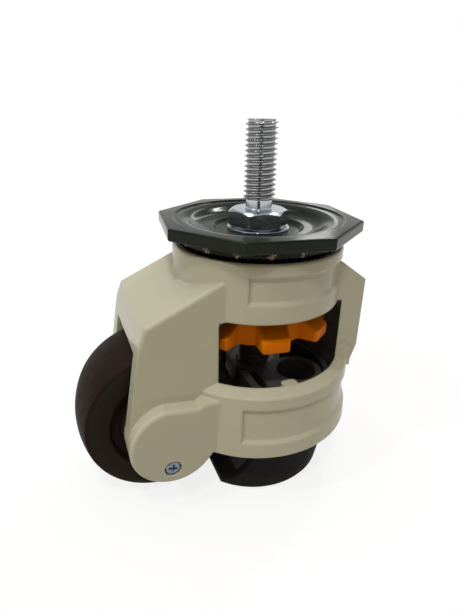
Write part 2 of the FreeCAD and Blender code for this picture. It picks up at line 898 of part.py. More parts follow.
def drill_plate_screws(body, name, radius, start, depth):
    """Blind holes upwards for the screws that hold the thrust plate."""
    sketch = new_sketch(body, f"{name}_outline", "XY_Plane", start)
    for number in range(PLATE_SCREWS):
        angle = 2 * math.pi * number / PLATE_SCREWS
        circle = plate_screw_circle
        ring_outline(sketch, (circle * math.cos(angle), circle * math.sin(angle)), radius)
    extruded(body, name, sketch, depth, cut=True, backwards=True)


def round_housing(body):
    """Cast edges: the lobes, the cheeks and the roof, the pillar and the skirt's two rims."""

    def lobe_edge(edge):
        behind = min(point.x for point in ends(edge)) < 4 - S.collar_outer_radius.value
        return behind and lies_at_side(edge, S.lobe_half_width) and not is_counterbore(edge)

    soften(body, "lobe_softening", S.soft_edge, lobe_edge)

    def cheek_edge(edge):
        first, last = ends(edge)
        high = min(first.z, last.z) > skirt_top.value + 1
        behind = max(first.x, last.x) < -S.wheel_setback.value - S.lobe_radius.value + 3
        outside = min(first.x, last.x) < -S.bore_radius.value
        return (lies_at_side(edge, S.cheek_half_width) and outside
                and abs(first.x - last.x) > 0.5 and (high or behind))

    soften(body, "cheek_softening", S.soft_edge, cheek_edge)

    def pillar_edge(edge):
        first, last = ends(edge)
        front = min(first.x, last.x) > (pillar_front - S.pillar_toe).value - 0.1
        return lies_at_side(edge, S.pillar_half_width) and front

    soften(body, "pillar_softening", S.soft_edge, pillar_edge)

    def skirt_rim(edge):
        first, last = ends(edge)
        radius = math.hypot(first.x, first.y)
        foot = near(first.z, skirt_bottom) and near(radius, skirt_foot_radius)
        shoulder = near(first.z, skirt_top - S.skirt_top_fall) and near(radius, skirt_top_radius)
        return near(first.z, as_length(last.z)) and (foot or shoulder)

    soften(body, "skirt_softening", S.soft_edge * 0.6, skirt_rim)


def round_window_corners(body):
    """The inner corners under the collar, where the side windows meet cheeks and pillar."""

    def window_arc(edge):
        points = ends(edge)
        level = all(near(point.z, roof_z) for point in points)
        return level and all(near(math.hypot(point.x, point.y), S.bore_radius) for point in points)

    soften(body, "window_softening", S.window_corner, window_arc)


def is_counterbore(edge):
    east, up = keeper_place()
    middle = FreeCAD.Vector(east.value, 0, up.value)
    point = ends(edge)[0]
    away = FreeCAD.Vector(point.x, 0, point.z) - middle
    return near(away.Length, S.counterbore_radius, 0.05)


def make_housing():
    """One aluminium casting: collar, front pillar, skirt, cheeks and lobes."""
    body = new_body("housing")
    add_housing_shells(body)
    add_cheeks(body)
    add_pillar(body)
    cut_housing_inside(body)
    round_window_corners(body)
    cut_axle_seats(body)
    add_lugs(body)
    drill_plate_screws(body, "plate_screw_holes", S.plate_screw_radius + S.run_gap,
                       plate_seat, S.plate_screw_length - S.thrust_plate_thickness)
    round_housing(body)
    place(body, up=-seat_z)


# the wheel and its axle


def make_wheel():
    """Crowned nylon wheel with recessed sides and a seat for a bearing in each."""
    half = wheel_half
    edge = S.wheel_radius - S.wheel_crown
    shelf = half - S.hub_recess_depth
    seat = S.bearing_radius + S.fit_gap
    sag = S.wheel_crown
    crown_radius = (half * half + sag * sag) / (2 * sag)
    crown = ((0, S.wheel_radius - crown_radius), crown_radius, True)
    section = [
        (-half, edge),
        (half, edge),
        (half, S.hub_recess_radius),
        (shelf, S.hub_recess_radius - 1),
        (shelf, S.hub_radius + 1),
        (half, S.hub_radius),
        (half, seat),
        (bearing_inner, seat),
        (bearing_inner, S.wheel_bore + 2),
        (-bearing_inner, S.wheel_bore + 2),
        (-bearing_inner, seat),
        (-half, seat),
        (-half, S.hub_radius),
        (-shelf, S.hub_radius + 1),
        (-shelf, S.hub_recess_radius - 1),
        (-half, S.hub_recess_radius),
    ]
    body = axle_part("wheel", section, arcs={0: crown})

    def tread_corner(edge_line):
        point = ends(edge_line)[0]
        radius = math.hypot(point.x, point.z)
        return near(abs(point.y), half) and near(radius, edge)

    soften(body, "tread_corners", 1.6, tread_corner)


def make_bearing(side, sign):
    """A ball bearing as its two rings, its balls and its outer shield."""
    middle = sign * bearing_middle
    low, high = sign * bearing_inner, sign * bearing_outer
    groove_radius = S.bearing_ball + S.run_gap
    rings = {
        f"inner_ring_{side}": (S.bearing_bore + S.fit_gap, S.bearing_bore + S.ring_thickness),
        f"outer_ring_{side}": (S.bearing_radius - S.ring_thickness, S.bearing_radius),
    }
    for label, (inner, outer) in rings.items():
        body = axle_part(label, box_points(low, inner, high, outer))
        groove = new_sketch(body, f"{label}_groove_outline", "YZ_Plane")
        ring_outline(groove, (middle, ball_circle), groove_radius)
        spin(body, "Groove", f"{label}_groove", groove, axis="H_Axis")

    def spot(number):
        angle = 2 * math.pi * number / BEARING_BALLS
        east = ball_circle * math.cos(angle) - S.wheel_setback
        return east, middle, ball_circle * math.sin(angle) + axle_z - seat_z

    ball_group(f"bearing_balls_{side}", BEARING_BALLS, S.bearing_ball, spot)
    shield_low = sign * (bearing_outer - S.shield_thickness)
    inner = S.bearing_bore + S.ring_thickness + 3 * S.run_gap
    outer = S.bearing_radius - S.ring_thickness
    axle_part(f"bearing_shield_{side}", box_points(shield_low, inner, high, outer))


def make_axle():
    chamfer = 0.5
    end = slot_end - S.run_gap
    radius = S.axle_radius
    section = [
        (-end, 0),
        (-end, radius - chamfer),
        (chamfer - end, radius),
        (end - chamfer, radius),
        (end, radius - chamfer),
        (end, 0),
    ]
    axle_part("axle", section)
    bore = radius + S.fit_gap
    spacer = box_points(-bearing_inner, bore, bearing_inner, S.bearing_bore + S.ring_thickness)
    axle_part("bearing_spacer", spacer)


def make_axle_ends(side, sign):
    """What holds the axle at one cheek: a collar, a keeper in the slot and its screw."""
    bore = S.axle_radius + S.fit_gap
    cheek = S.tunnel_half_width - S.turning_gap
    collar = [
        (sign * bearing_outer, bore),
        (sign * bearing_outer, S.bearing_bore + S.ring_thickness),
        (sign * (bearing_outer + S.bearing_inset), S.bearing_bore + S.ring_thickness),
        (sign * (bearing_outer + S.bearing_inset), S.collar_radius),
        (sign * cheek, S.collar_radius),
        (sign * cheek, bore),
    ]
    axle_part(f"axle_collar_{side}", collar)
    keeper_x, keeper_z = keeper_place()
    half = S.axle_radius - S.run_gap
    top = -(S.axle_radius + S.fit_gap)
    foot = top - S.keeper_length
    keeper = new_body(f"axle_keeper_{side}")
    face = new_sketch(keeper, f"keeper_{side}_outline", "XZ_Plane", -sign * slot_end)
    outline(face, box_points(-half, foot, half, top))
    ring_outline(face, (-S.keeper_offset, -S.keeper_drop), S.keeper_screw_radius + S.fit_gap)
    extruded(keeper, f"keeper_{side}_block", face, S.axle_slot_depth, backwards=sign < 0)
    place(keeper, east=-S.wheel_setback, up=axle_z - seat_z)
    under_head = S.lobe_half_width - S.keeper_head_sink - S.keeper_head_height
    outer = S.lobe_half_width - S.keeper_head_sink
    tip = S.tunnel_half_width + 0.4
    screw = [
        (sign * tip, 0),
        (sign * tip, S.keeper_screw_radius),
        (sign * under_head, S.keeper_screw_radius),
        (sign * under_head, S.keeper_head_radius),
        (sign * (outer - 0.4), S.keeper_head_radius),
        (sign * outer, S.keeper_head_radius - 0.5),
        (sign * outer, 0),
    ]
    body = new_body(f"keeper_screw_{side}")
    turned_about_y(body, f"keeper_screw_{side}_turned", screw)
    place(body, east=keeper_x, up=keeper_z - seat_z)


# the adjuster


def make_thrust_plate():
    """Steel plate screwed up under the collar that takes the adjuster's thrust."""
    body = new_body("thrust_plate")
    bore = S.bush_radius + S.fit_gap
    turned(body, "thrust_disc", box_points(bore, roof_z, thrust_plate_radius, plate_seat))
    drill_plate_screws(body, "thrust_plate_holes", S.plate_screw_radius + S.run_gap,
                       roof_z - 1, S.thrust_plate_thickness + 2)
    place(body, up=-seat_z)
    bush = box_points(S.journal_radius + S.run_gap, roof_z, S.bush_radius, plate_seat)
    turned_part("journal_bush", bush)
    washer = box_points(S.journal_radius + S.run_gap, washer_bottom, S.screw_flange_radius, roof_z)
    turned_part("thrust_washer", washer)


def make_plate_screws():
    """Pan-head screws from below, as a group."""
    screws = []
    head_low = roof_z - S.keeper_head_height
    tip = head_low + S.keeper_head_height + S.plate_screw_length - 0.5
    for number in range(PLATE_SCREWS):
        angle = 2 * math.pi * number / PLATE_SCREWS
        spot = (plate_screw_circle * math.cos(angle), plate_screw_circle * math.sin(angle))
        shank = doc.addObject("Part::Cylinder", f"plate_screw_shank_{number}")
        bind(shank, "Radius", S.plate_screw_radius)
        bind(shank, "Height", tip - roof_z)
        place(shank, *spot, roof_z - seat_z)
        head = doc.addObject("Part::Cylinder", f"plate_screw_head_{number}")
        bind(head, "Radius", 2 * S.plate_screw_radius - 0.5)
        bind(head, "Height", S.keeper_head_height)
        place(head, *spot, head_low - seat_z)
        screw = doc.addObject("Part::MultiFuse", f"plate_screw_{number}")
        screw.Shapes = [shank, head]
        screws.append(screw)
    group = doc.addObject("Part::Compound", "plate_screws")
    group.Label = "plate_screws"
    group.Links = screws
    parts.append(group)


def make_adjuster_screw():
    """Adjuster: journal, thrust flange, drive shoulder and the thread's own cylinder."""
    body = new_body("adjuster_screw")
    journal_end = plate_seat + S.journal_overhang
    clip_low = plate_seat + S.turning_gap
    clip_high = clip_low + S.clip_thickness + S.run_gap
    neck = S.journal_radius - S.clip_groove
    section = [
        (0, screw_end),
        (S.screw_radius - S.screw_point, screw_end),
        (S.screw_radius, screw_end + S.screw_point),
        (S.screw_radius, thumb_bottom - 1),
        (S.drive_radius, thumb_bottom + 0.5),
        (S.drive_radius, flange_bottom),
        (S.screw_flange_radius, flange_bottom),
        (S.screw_flange_radius, flange_top),
        (S.journal_radius, flange_top),
        (S.journal_radius, clip_low),
        (neck, clip_low),
        (neck, clip_high),
        (S.journal_radius, clip_high),
        (S.journal_radius, journal_end),
        (0, journal_end),
    ]
    turned(body, "screw", section)
    hole = new_sketch(body, "pin_hole_outline", "YZ_Plane")
    ring_outline(hole, (0, pin_z), S.drive_pin_radius + S.fit_gap)
    extruded(body, "pin_hole", hole, 4 * S.drive_radius, cut=True, both_ways=True)
    place(body, up=-seat_z)


def make_journal_clip():
    """Open clip in the journal's groove that stops the adjuster from dropping."""
    body = new_body("journal_clip")
    low = plate_seat + S.turning_gap
    inner = S.journal_radius - S.clip_groove + S.fit_gap
    turned(body, "clip", box_points(inner, low, S.clip_radius, low + S.clip_thickness))
    gap = new_sketch(body, "clip_gap_outline", "XY_Plane", low - 1)
    outline(gap, box_points(0, -3, S.clip_radius + 2, 3))
    extruded(body, "clip_gap", gap, S.clip_thickness + 2, cut=True, backwards=True)
    place(body, up=-seat_z)


def tooth_points(number, root_radius):
    """The four corners of one thumbwheel tooth in plan."""
    angle = math.radians(S.thumb_turn.value + 360 * number / S.thumb_teeth.value)
    along, across = (math.cos(angle), math.sin(angle)), (-math.sin(angle), math.cos(angle))
    root, tip = S.thumb_root_width / 2, S.thumb_tooth_width / 2
    corners = []
    for reach, half in ((root_radius, -root), (thumb_radius, -tip), (thumb_radius, tip),
                        (root_radius, root)):
        corners.append((reach * along[0] + half * across[0], reach * along[1] + half * across[1]))
    return corners


def make_thumbwheel():
    """Moulded thumbwheel: eight blocky teeth round a disc, with a hub up to the screw's flange."""
    body = new_body("thumbwheel")
    bore = S.drive_radius + S.fit_gap
    section = [
        (bore, thumb_bottom + 0.8),
        (S.thumb_hub_radius - 2, thumb_bottom + 0.8),
        (S.thumb_hub_radius - 1.2, thumb_bottom),
        (thumb_valley_radius, thumb_bottom),
        (thumb_valley_radius, thumb_top),
        (S.thumb_hub_radius + 1, thumb_top),
        (S.thumb_hub_radius, thumb_top + 1),
        (S.thumb_hub_radius, flange_bottom),
        (bore, flange_bottom),
    ]
    turned(body, "thumb_disc", section)
    for number in range(int(S.thumb_teeth.value)):
        tooth = new_sketch(body, f"tooth_{number}_outline", "XY_Plane", thumb_bottom)
        outline(tooth, tooth_points(number, thumb_valley_radius - 3))
        extruded(body, f"tooth_{number}", tooth, S.thumb_thickness)
    hole = new_sketch(body, "hub_pin_hole_outline", "YZ_Plane")
    ring_outline(hole, (0, pin_z), S.drive_pin_radius + S.fit_gap)
    extruded(body, "hub_pin_hole", hole, 4 * S.thumb_hub_radius, cut=True, both_ways=True)
    tip = math.hypot(thumb_radius.value, S.thumb_tooth_width.value / 2)
    low, high = thumb_valley_radius.value - 0.6, tip + 0.1

    def tooth_edge(edge):
        points = ends(edge)
        upright = abs(points[0].z - points[1].z) > S.thumb_thickness.value - 0.01
        return upright and all(low < math.hypot(point.x, point.y) < high for point in points)

    soften(body, "tooth_softening", S.thumb_corner, tooth_edge)
    place(body, up=-seat_z)


def make_drive_pin():
    """Pin across the hub that makes the thumbwheel turn the screw."""
    body = new_body("drive_pin")
    sketch = new_sketch(body, "drive_pin_outline", "YZ_Plane")
    ring_outline(sketch, (0, pin_z), S.drive_pin_radius)
    extruded(body, "drive_pin_rod", sketch, 2 * S.thumb_hub_radius - 1, both_ways=True)
    place(body, up=-seat_z)


# the foot


def cut_for_wheel(body, name, half_width):
    """Cut the foot's back so that it clears the wheel over its whole lift."""
    reach = S.wheel_radius + S.wheel_gap
    centre_z = axle_z - S.foot_lift
    centre = (-S.wheel_setback, centre_z)
    back = reach - S.wheel_setback
    heel_run = S.wheel_setback - S.foot_heel
    heel_z = centre_z - root(reach * reach - heel_run * heel_run)
    wall_z = seat_z
    far = -2 * S.wheel_setback
    points = [(far, -2), (-S.foot_heel, -2), (-S.foot_heel, heel_z), (back, centre_z),
              (back, wall_z), (far, wall_z)]
    slab(body, name, points, 2 * half_width, arcs={2: (centre, reach, False)}, cut=True)


def cut_for_lugs(body, name, bottom, height):
    """Grooves at both sides that slide on the housing's lugs."""
    sketch = new_sketch(body, f"{name}_outline", "XY_Plane", bottom)
    half = S.lug_width / 2 + S.carrier_clearance / 2
    for sign in (1, -1):
        inner = S.bore_radius - S.lug_depth - S.carrier_clearance
        outline(sketch, box_points(-half, sign * inner, half, sign * (S.bore_radius + 1)))
    extruded(body, name, sketch, height, cut=True, backwards=True)


def socket_places():
    return [(S.socket_forward, sign * socket_side) for sign in (1, -1)]


def make_foot_carrier():
    """Moulded carrier of the foot: a guide disc in the bore, a boss for the nut, arms, sockets."""
    body = new_body("foot_carrier")
    core = pad_rim_radius - S.pad_wall - S.fit_gap
    guide_low = S.pad_height + 0.05
    wall_top = guide_top + S.guide_wall_height
    section = [
        (0, carrier_bottom),
        (core, carrier_bottom),
        (core, guide_low),
        (carrier_radius, guide_low),
        (carrier_radius, wall_top),
        (carrier_radius - S.guide_wall, wall_top),
        (carrier_radius - S.guide_wall, guide_top),
        (0, guide_top),
    ]
    turned(body, "carrier_core", section)
    plan = new_sketch(body, "boss_outline", "XY_Plane", guide_top - 1)
    ring_outline(plan, (0, 0), S.boss_radius)
    extruded(body, "boss", plan, carrier_top - guide_top + 1)
    arm = new_sketch(body, "arm_outline", "XY_Plane", guide_top - 1)
    reach = S.bore_radius - S.lug_depth - S.carrier_clearance
    west, east = S.arm_shift - S.arm_width / 2, S.arm_shift + S.arm_width / 2
    outline(arm, box_points(west, -reach, east, reach))
    extruded(body, "arms", arm, carrier_top - guide_top + 1)
    for number, spot in enumerate(socket_places()):
        rim = new_sketch(body, f"socket_{number}_outline", "XY_Plane", guide_top - 1)
        ring_outline(rim, spot, S.socket_radius)
        extruded(body, f"socket_{number}", rim, carrier_top - guide_top + 1)
    cut_for_wheel(body, "wheel_cut", S.bore_radius + 1)
    cut_carrier_wells(body)
    cut_for_lugs(body, "lug_grooves", S.pad_height, S.carrier_height)
    add_back_wall(body)
    place(body, up=-seat_z)


def add_back_wall(body):
    """Upright wall along the carrier's flat back, beside the boss."""
    back = S.wheel_radius + S.wheel_gap - S.wheel_setback
    wall = new_sketch(body, "back_wall_outline", "XY_Plane", guide_top - 1)
    side = root(carrier_radius * carrier_radius - back * back) - 0.5
    for sign in (1, -1):
        corners = box_points(back, sign * (S.nut_bush_radius + 1), back + S.back_wall, sign * side)
        outline(wall, corners)
    extruded(body, "back_wall", wall, carrier_top - guide_top + 1)


def cut_carrier_wells(body):
    """The nut's pocket, the screw's clearance below it, and the two screw sockets."""
    nut = new_sketch(body, "nut_pocket_outline", "XY_Plane", carrier_top - S.nut_bush_height)
    outline(nut, nut_plan(S.fit_gap), arcs=nut_arcs(S.fit_gap))
    extruded(body, "nut_pocket", nut, S.nut_bush_height + 1, cut=True, backwards=True)
    room = new_sketch(body, "screw_room_outline", "XY_Plane", screw_end - S.foot_lift - 2)
    ring_outline(room, (0, 0), S.screw_radius + 0.4)
    extruded(body, "screw_room", room, S.screw_length, cut=True, backwards=True)
    floor = carrier_bottom + S.guide_height
    for number, spot in enumerate(socket_places()):
        well = new_sketch(body, f"well_{number}_outline", "XY_Plane", floor)
        ring_outline(well, spot, S.socket_radius - S.socket_wall)
        extruded(body, f"well_{number}", well, carrier_top, cut=True, backwards=True)
        hole = new_sketch(body, f"screw_hole_{number}_outline", "XY_Plane", 0)
        ring_outline(hole, spot, S.pad_screw_radius + S.run_gap)
        extruded(body, f"screw_hole_{number}", hole, floor + 1, cut=True, backwards=True)


def nut_plan(gap):
    """The nut's plan: a round with two flats, a gap larger all round."""
    radius = S.nut_bush_radius + gap
    flat = S.nut_bush_flat + gap
    chord = root(radius * radius - flat * flat)
    return [(chord, flat), (-chord, flat), (-chord, -flat), (chord, -flat)]


def nut_arcs(gap):
    radius = S.nut_bush_radius + gap
    return {1: ((0, 0), radius, False), 3: ((0, 0), radius, False)}


def make_foot_nut():
    """Steel nut with two flats, pressed into the carrier's boss."""
    body = new_body("foot_nut")
    plan = new_sketch(body, "foot_nut_outline", "XY_Plane", carrier_top - S.nut_bush_height)
    outline(plan, nut_plan(as_length(0)), arcs=nut_arcs(as_length(0)))
    ring_outline(plan, (0, 0), S.screw_radius + S.run_gap)
    extruded(body, "foot_nut_block", plan, S.nut_bush_height)
    place(body, up=-seat_z)


def make_foot_pad():
    """Rubber shoe of the foot, cut back for the wheel, with a ringed sole."""
    body = new_body("foot_pad")
    core = pad_rim_radius - S.pad_wall
    groove_low = S.sole_groove_radius - S.sole_groove_width / 2
    groove_high = S.sole_groove_radius + S.sole_groove_width / 2
    section = [
        (0, 0),
        (groove_low, 0),
        (groove_low, S.sole_groove_depth),
        (groove_high, S.sole_groove_depth),
        (groove_high, 0),
        (pad_radius, 0),
        (pad_radius + 1, S.pad_bulge_height / 4),
        (pad_bulge_radius, S.pad_bulge_height),
        (pad_rim_radius, S.pad_height),
        (core, S.pad_height),
        (core, S.pad_sole),
        (0, S.pad_sole),
    ]
    turned(body, "pad", section)
    cut_for_wheel(body, "pad_wheel_cut", S.bore_radius + 1)
    holes = new_sketch(body, "pad_screw_outline", "XY_Plane", S.pad_sole + 1)
    for spot in socket_places():
        ring_outline(holes, spot, S.pad_screw_radius + S.run_gap)
    extruded(body, "pad_screw_holes", holes, S.pad_sole - 1, cut=True)
    place(body, up=-seat_z)


def make_pad_screws():
    """The two screws at the bottom of the sockets that hold the shoe on, as a group."""
    screws = []
    head_low = carrier_bottom + S.guide_height
    tip = head_low - S.pad_screw_length
    for number, spot in enumerate(socket_places()):
        shank = doc.addObject("Part::Cylinder", f"pad_screw_shank_{number}")
        bind(shank, "Radius", S.pad_screw_radius)
        bind(shank, "Height", S.pad_screw_length + 1)
        place(shank, *spot, tip - seat_z)
        head = doc.addObject("Part::Cylinder", f"pad_screw_head_{number}")
        bind(head, "Radius", S.pad_screw_head)
        bind(head, "Height", S.pad_screw_head_height)
        place(head, *spot, head_low - seat_z)
        screw = doc.addObject("Part::MultiFuse", f"pad_screw_{number}")
        screw.Shapes = [shank, head]
        screws.append(screw)
    group = doc.addObject("Part::Compound", "pad_screws")
    group.Label = "pad_screws"
    group.Links = screws
    parts.append(group)


def build():
    make_stem_bolt()
    make_stem_washer()
    make_top_plate()
    make_clamp_cup()
    make_clamp_nut()
    make_upper_race()
    upper_count = int(S.upper_ball_count.value)
    lower_count = int(S.lower_ball_count.value)
    head_balls("upper_balls", upper_count, S.upper_ball, upper_ball_circle, upper_ball_z)
    head_balls("lower_balls", lower_count, S.lower_ball, S.lower_ball_circle, lower_ball_z)
    make_housing()
    make_wheel()
    make_axle()
    for side, sign in (("left", 1), ("right", -1)):
        make_bearing(side, sign)
        make_axle_ends(side, sign)
    make_thrust_plate()
    make_plate_screws()
    make_adjuster_screw()
    make_journal_clip()
    make_thumbwheel()
    make_drive_pin()
    make_foot_carrier()
    make_foot_nut()
    make_foot_pad()
    make_pad_screws()


def check():
    """Stop where any object failed or any sub-part has no sound shape."""
    for item in doc.Objects:
        if "Invalid" in item.State or "Error" in item.State:
            raise RuntimeError(f"{item.Name} failed: {item.State}")
    for item in parts:
        if item.Shape.isNull() or not item.Shape.isValid() or not item.Shape.Solids:
            raise RuntimeError(f"{item.Label} has no sound shape")


def export():
    os.makedirs("parts", exist_ok=True)
    for item in parts:
        item.Shape.exportStep(f"parts/{item.Label}.step")
        print(item.Label, len(item.Shape.Solids), round(item.Shape.Volume, 1))


build()
doc.recompute()
check()
export()
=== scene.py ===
import math

import bmesh
import bpy
from mathutils import Matrix, Vector


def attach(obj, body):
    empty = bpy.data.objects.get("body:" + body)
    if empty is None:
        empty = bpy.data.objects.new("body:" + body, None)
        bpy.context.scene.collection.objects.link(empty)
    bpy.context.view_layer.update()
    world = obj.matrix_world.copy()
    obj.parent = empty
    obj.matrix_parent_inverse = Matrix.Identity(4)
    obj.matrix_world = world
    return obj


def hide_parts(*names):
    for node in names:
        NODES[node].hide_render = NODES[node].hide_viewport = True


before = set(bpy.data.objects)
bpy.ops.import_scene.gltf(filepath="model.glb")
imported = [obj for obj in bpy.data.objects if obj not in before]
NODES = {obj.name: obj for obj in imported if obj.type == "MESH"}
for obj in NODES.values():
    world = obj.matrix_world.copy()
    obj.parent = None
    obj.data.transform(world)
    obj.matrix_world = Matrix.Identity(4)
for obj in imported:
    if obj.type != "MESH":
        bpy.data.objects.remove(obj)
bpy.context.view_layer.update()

# Levelling castor, dressed over its solids. The pieces' sizes are millimetres: the origin is the
# seat on top of the stem's hexagon, +Z runs up the stem and +X away from the wheel. Finishes and
# the room are in metres.

MM = 0.001
SCENE = bpy.context.scene

FLOOR = -107.7

# the stem: thread, smooth neck, hexagon and the shank inside the swivel head
STEM_RADIUS = 5.9
STEM_TOP = 30.7
STEM_PITCH = 1.75
STEM_DEPTH = 1.07
STEM_RUNOUT = 0.1
STEM_CHAMFER = 1.0
NECK_RADIUS = 4.95
NECK_TOP = 3.7
NECK_OVERLAP = 0.8
NECK_FLARE = 0.3
NECK_TAPER = 0.15
NECK_SUNK = 1
HEXAGON_WIDTH = 20.0
HEXAGON_TURN = -12.0
HEXAGON_LOW = -6.5
HEXAGON_BORE = 4.0
HEXAGON_CORNER = 0.25
HEXAGON_SHOULDER = 0.97
HEXAGON_CHAMFER = 30
HEXAGON_STEPS = 144
SHANK_RADIUS = 6.0
SHANK_LOW = -26.5
SHANK_HIGH = HEXAGON_LOW + 2

# the thread's section: shares of half a pitch where the valley ends and the crest begins
VALLEY_END = 0.4
CREST_START = 0.92

# the ball gap between the plate's rim and the collar
BALL_COUNT = 17
BALL_CIRCLE = 28.0
BALL_RADIUS = 3.0
BALL_LEVEL = -9.2
COLLAR_TOP = -11.4
RIM_LOW = -7.0
GREASE_STEPS = 540
LUMPS = ((61, 2.1), (97, 4.3))
LUMP_SHARE = 0.35
BALL_SHARE = 0.5

# the thumbwheel: blocky teeth, a thick middle and a hub
THUMB_LOW = -45.7
THUMB_HIGH = -41.1
THUMB_TURN = -98.0
TOOTH_COUNT = 8
TOOTH_VALLEY = 23.0
TOOTH_TIP = 29.5
TOOTH_ROOT_HALF = 5.85
TOOTH_TIP_HALF = 5.2
TOOTH_ROOT_ROUND = 0.9
TOOTH_TIP_ROUND = 1.3
TOOTH_EDGE = 0.5
GAP_END = 0.2
GAP_MIDDLE = 0.6
TOOTH_RISE = 4.3
RISE_START = 29.3
RISE_LENGTH = 6.3
CROWN_RADIUS = 22.4
EYE_RADIUS = 16.0
HUB_BORE = 9.03
HUB_RADIUS = 15.0

# the adjusting screw: thread, shoulder, thrust flange and grooved journal
SCREW_RADIUS = 7.0
SCREW_PITCH = 2.0
SCREW_DEPTH = 1.23
SCREW_RUNOUT = 1.5
SCREW_CHAMFER = 0.2
SCREW_LOW = -88.7
SCREW_OVERLAP = 0.2
SCREW_ROUND = 0.3
SHOULDER_FOOT = 6.6
SHOULDER_RADIUS = 9.0
FLANGE_RADIUS = 13.0
FLANGE_LOW = -35.5
FLANGE_HIGH = -34.2
JOURNAL_RADIUS = 6.5
JOURNAL_TOP = -27.3
GROOVE_RADIUS = 5.7
GROOVE_LOW = -29.0
GROOVE_HIGH = -27.95

# the wheel: crowned tread, recessed sides and a web between its bearings
WHEEL_PLACE = Vector((-42.3, 0.0, -76.2))
WHEEL_RADIUS = 31.5
WHEEL_HALF = 14.9
WHEEL_BORE = 13.03
WEB_BORE = 10.2
WEB_HALF = 6.4
TREAD_SAG = 2.4
TREAD_EDGE = 0.9
TREAD_EDGE_DROP = 0.12
TREAD_HALF_STEPS = 12

# the cross-head screws: head radius, head height, shank radius, shank length
KEEPER_SCREW = (2.8, 1.7, 1.5, 10.2)
PLATE_SCREW = (3.5, 1.7, 2.0, 9.5)
PAD_SCREW = (4.6, 2.6, 2.5, 9.0)
KEEPER_SCREW_PLACE = (-43.3, 29.3, -85.5)
KEEPER_CROSS_TURN = 1.35
PLATE_SCREW_COUNT = 3
PLATE_SCREW_CIRCLE = 24.4
PLATE_SCREW_LEVEL = -34.8
PLATE_CROSS_TURN = 0.7
PAD_SCREW_PLACE = (12.0, 16.4, -91.1)
PAD_CROSS_TURN = 0.3
CROSS_ARM = 0.62
CROSS_HALF_SLOT = 0.16

# the bore of the casting, darkened with painted shade, in metres: where each of its bounds begins
# and is reached in full
BORE_WALL = (0.03408, 0.03404)
BORE_ROOF = (-0.0328, -0.033)
ABOVE_LUGS = (-0.0562, -0.0558)
BESIDE_LUGS = (0.0045, 0.005)

# the side faces of the wheel, lighter and greyer as painted light, in metres from its middle:
# begun and in full
WHEEL_SIDES = (0.0145, 0.0148)

# settings that all finishes share
EVEN = (1.0, 1.0, 1.0)
NOISE_ROUGHNESS = 0.55
EDGE_SAMPLES = 8
WHITE = (1.0, 1.0, 1.0, 1.0)

# the room, in metres; heights of the sky are sines of the angle above the horizon
CAMERA_PLACE = (-0.0714, -0.15243, 0.03408)
CAMERA_RIGHT = Vector((0.9317, -0.3628, 0.0167))
CAMERA_BACK = Vector((-0.3382, -0.8497, 0.4045))
CAMERA_LENS = 26.43
FLOOR_REACH = 6.0
FLOOR_GAP = 0.0001
FLOOR_BOUNCE = (0.5, 0.455, 0.39)
FLOOR_SEEN = (0.2, 0.2, 0.2)
GLOW_REACH = (0.15, 1.2)
GLOW_LEVEL = (0.83, 0.97)
AMBIENT = 0.3
AMBIENT_TINT = (1.0, 0.91, 0.78, 1.0)
HORIZON_FALL = (0.205, 0.23)
OVERHEAD = 0.42
ZENITH_RISE = (0.75, 0.95)
ZENITH_LIFT = 0.2
CARD_TURN = -25.1
CARD_HALF = 0.07
CARD_AWAY = 0.33
CARD_LOW = -0.1
CARD_HIGH = 0.6

# the lamps: name, place, aim, width and height, watts
LAMPS = (
    ("key", (-0.65, -0.11, 0.69), (0, 0, -0.04), (0.05, 0.05), 1.7),
    ("front", (-0.205, -0.44, 0.83), (0, 0, -0.03), (0.12, 0.12), 2.7),
    ("back", (0.5, 0.35, 0.74), (0, 0, -0.04), (0.08, 0.08), 1.5),
    ("ceiling", (-0.15, 0.15, 0.9), (0, 0, -0.05), (0.6, 0.6), 2.5),
    ("strip_right", (0.5, 0.75, 0.4), (0, 0, 0), (0.08, 0.4), 0.3),
)


# meshes


def new_piece(name, vertices, faces, material, smooth_angle=35.0):
    """A mesh piece from millimetre vertices, merged, closed outwards and shaded by angle."""
    mesh = bpy.data.meshes.new(name)
    mesh.from_pydata([Vector(vertex) * MM for vertex in vertices], [], faces)
    mesh.materials.append(material)
    return finish_piece(name, mesh, smooth_angle)


def finish_piece(name, mesh, smooth_angle):
    """Merge a mesh, turn its faces outwards, shade it by angle and make it a named object."""
    bm = bmesh.new()
    bm.from_mesh(mesh)
    bmesh.ops.remove_doubles(bm, verts=bm.verts, dist=1e-6)
    bmesh.ops.recalc_face_normals(bm, faces=bm.faces)
    bm.to_mesh(mesh)
    bm.free()
    mesh.polygons.foreach_set("use_smooth", [True] * len(mesh.polygons))
    mesh.set_sharp_from_angle(angle=math.radians(smooth_angle))
    mesh.name = name
    piece = bpy.data.objects.new(name, mesh)
    SCENE.collection.objects.link(piece)
    return piece


def even_angles(steps):
    return [2 * math.pi * step / steps for step in range(steps)]


def turned(angles, profile_at, closed=True):
    """Vertices and faces of a radius and height profile, which may change as it turns about Z."""
    vertices, faces = [], []
    for angle in angles:
        profile = profile_at(angle)
        for radius, height in profile:
            vertices.append((radius * math.cos(angle), radius * math.sin(angle), height))
    count = len(profile)
    spans = count if closed else count - 1
    for step in range(len(angles)):
        after = (step + 1) % len(angles)
        for spot in range(spans):
            further = (spot + 1) % count
            faces.append((step * count + spot, after * count + spot,
                          after * count + further, step * count + further))
    return vertices, faces


def lathe(profile, steps):
    """One closed profile turned about Z."""
    return turned(even_angles(steps), lambda angle: profile)


def corner_curve(first, corner, last, steps):
    """Points of a curve that leaves first and reaches last as if both headed for the corner."""
    points = []
    for step in range(steps + 1):
        t = step / steps
        points.append(first * (1 - t) ** 2 + corner * 2 * t * (1 - t) + last * t ** 2)
    return points


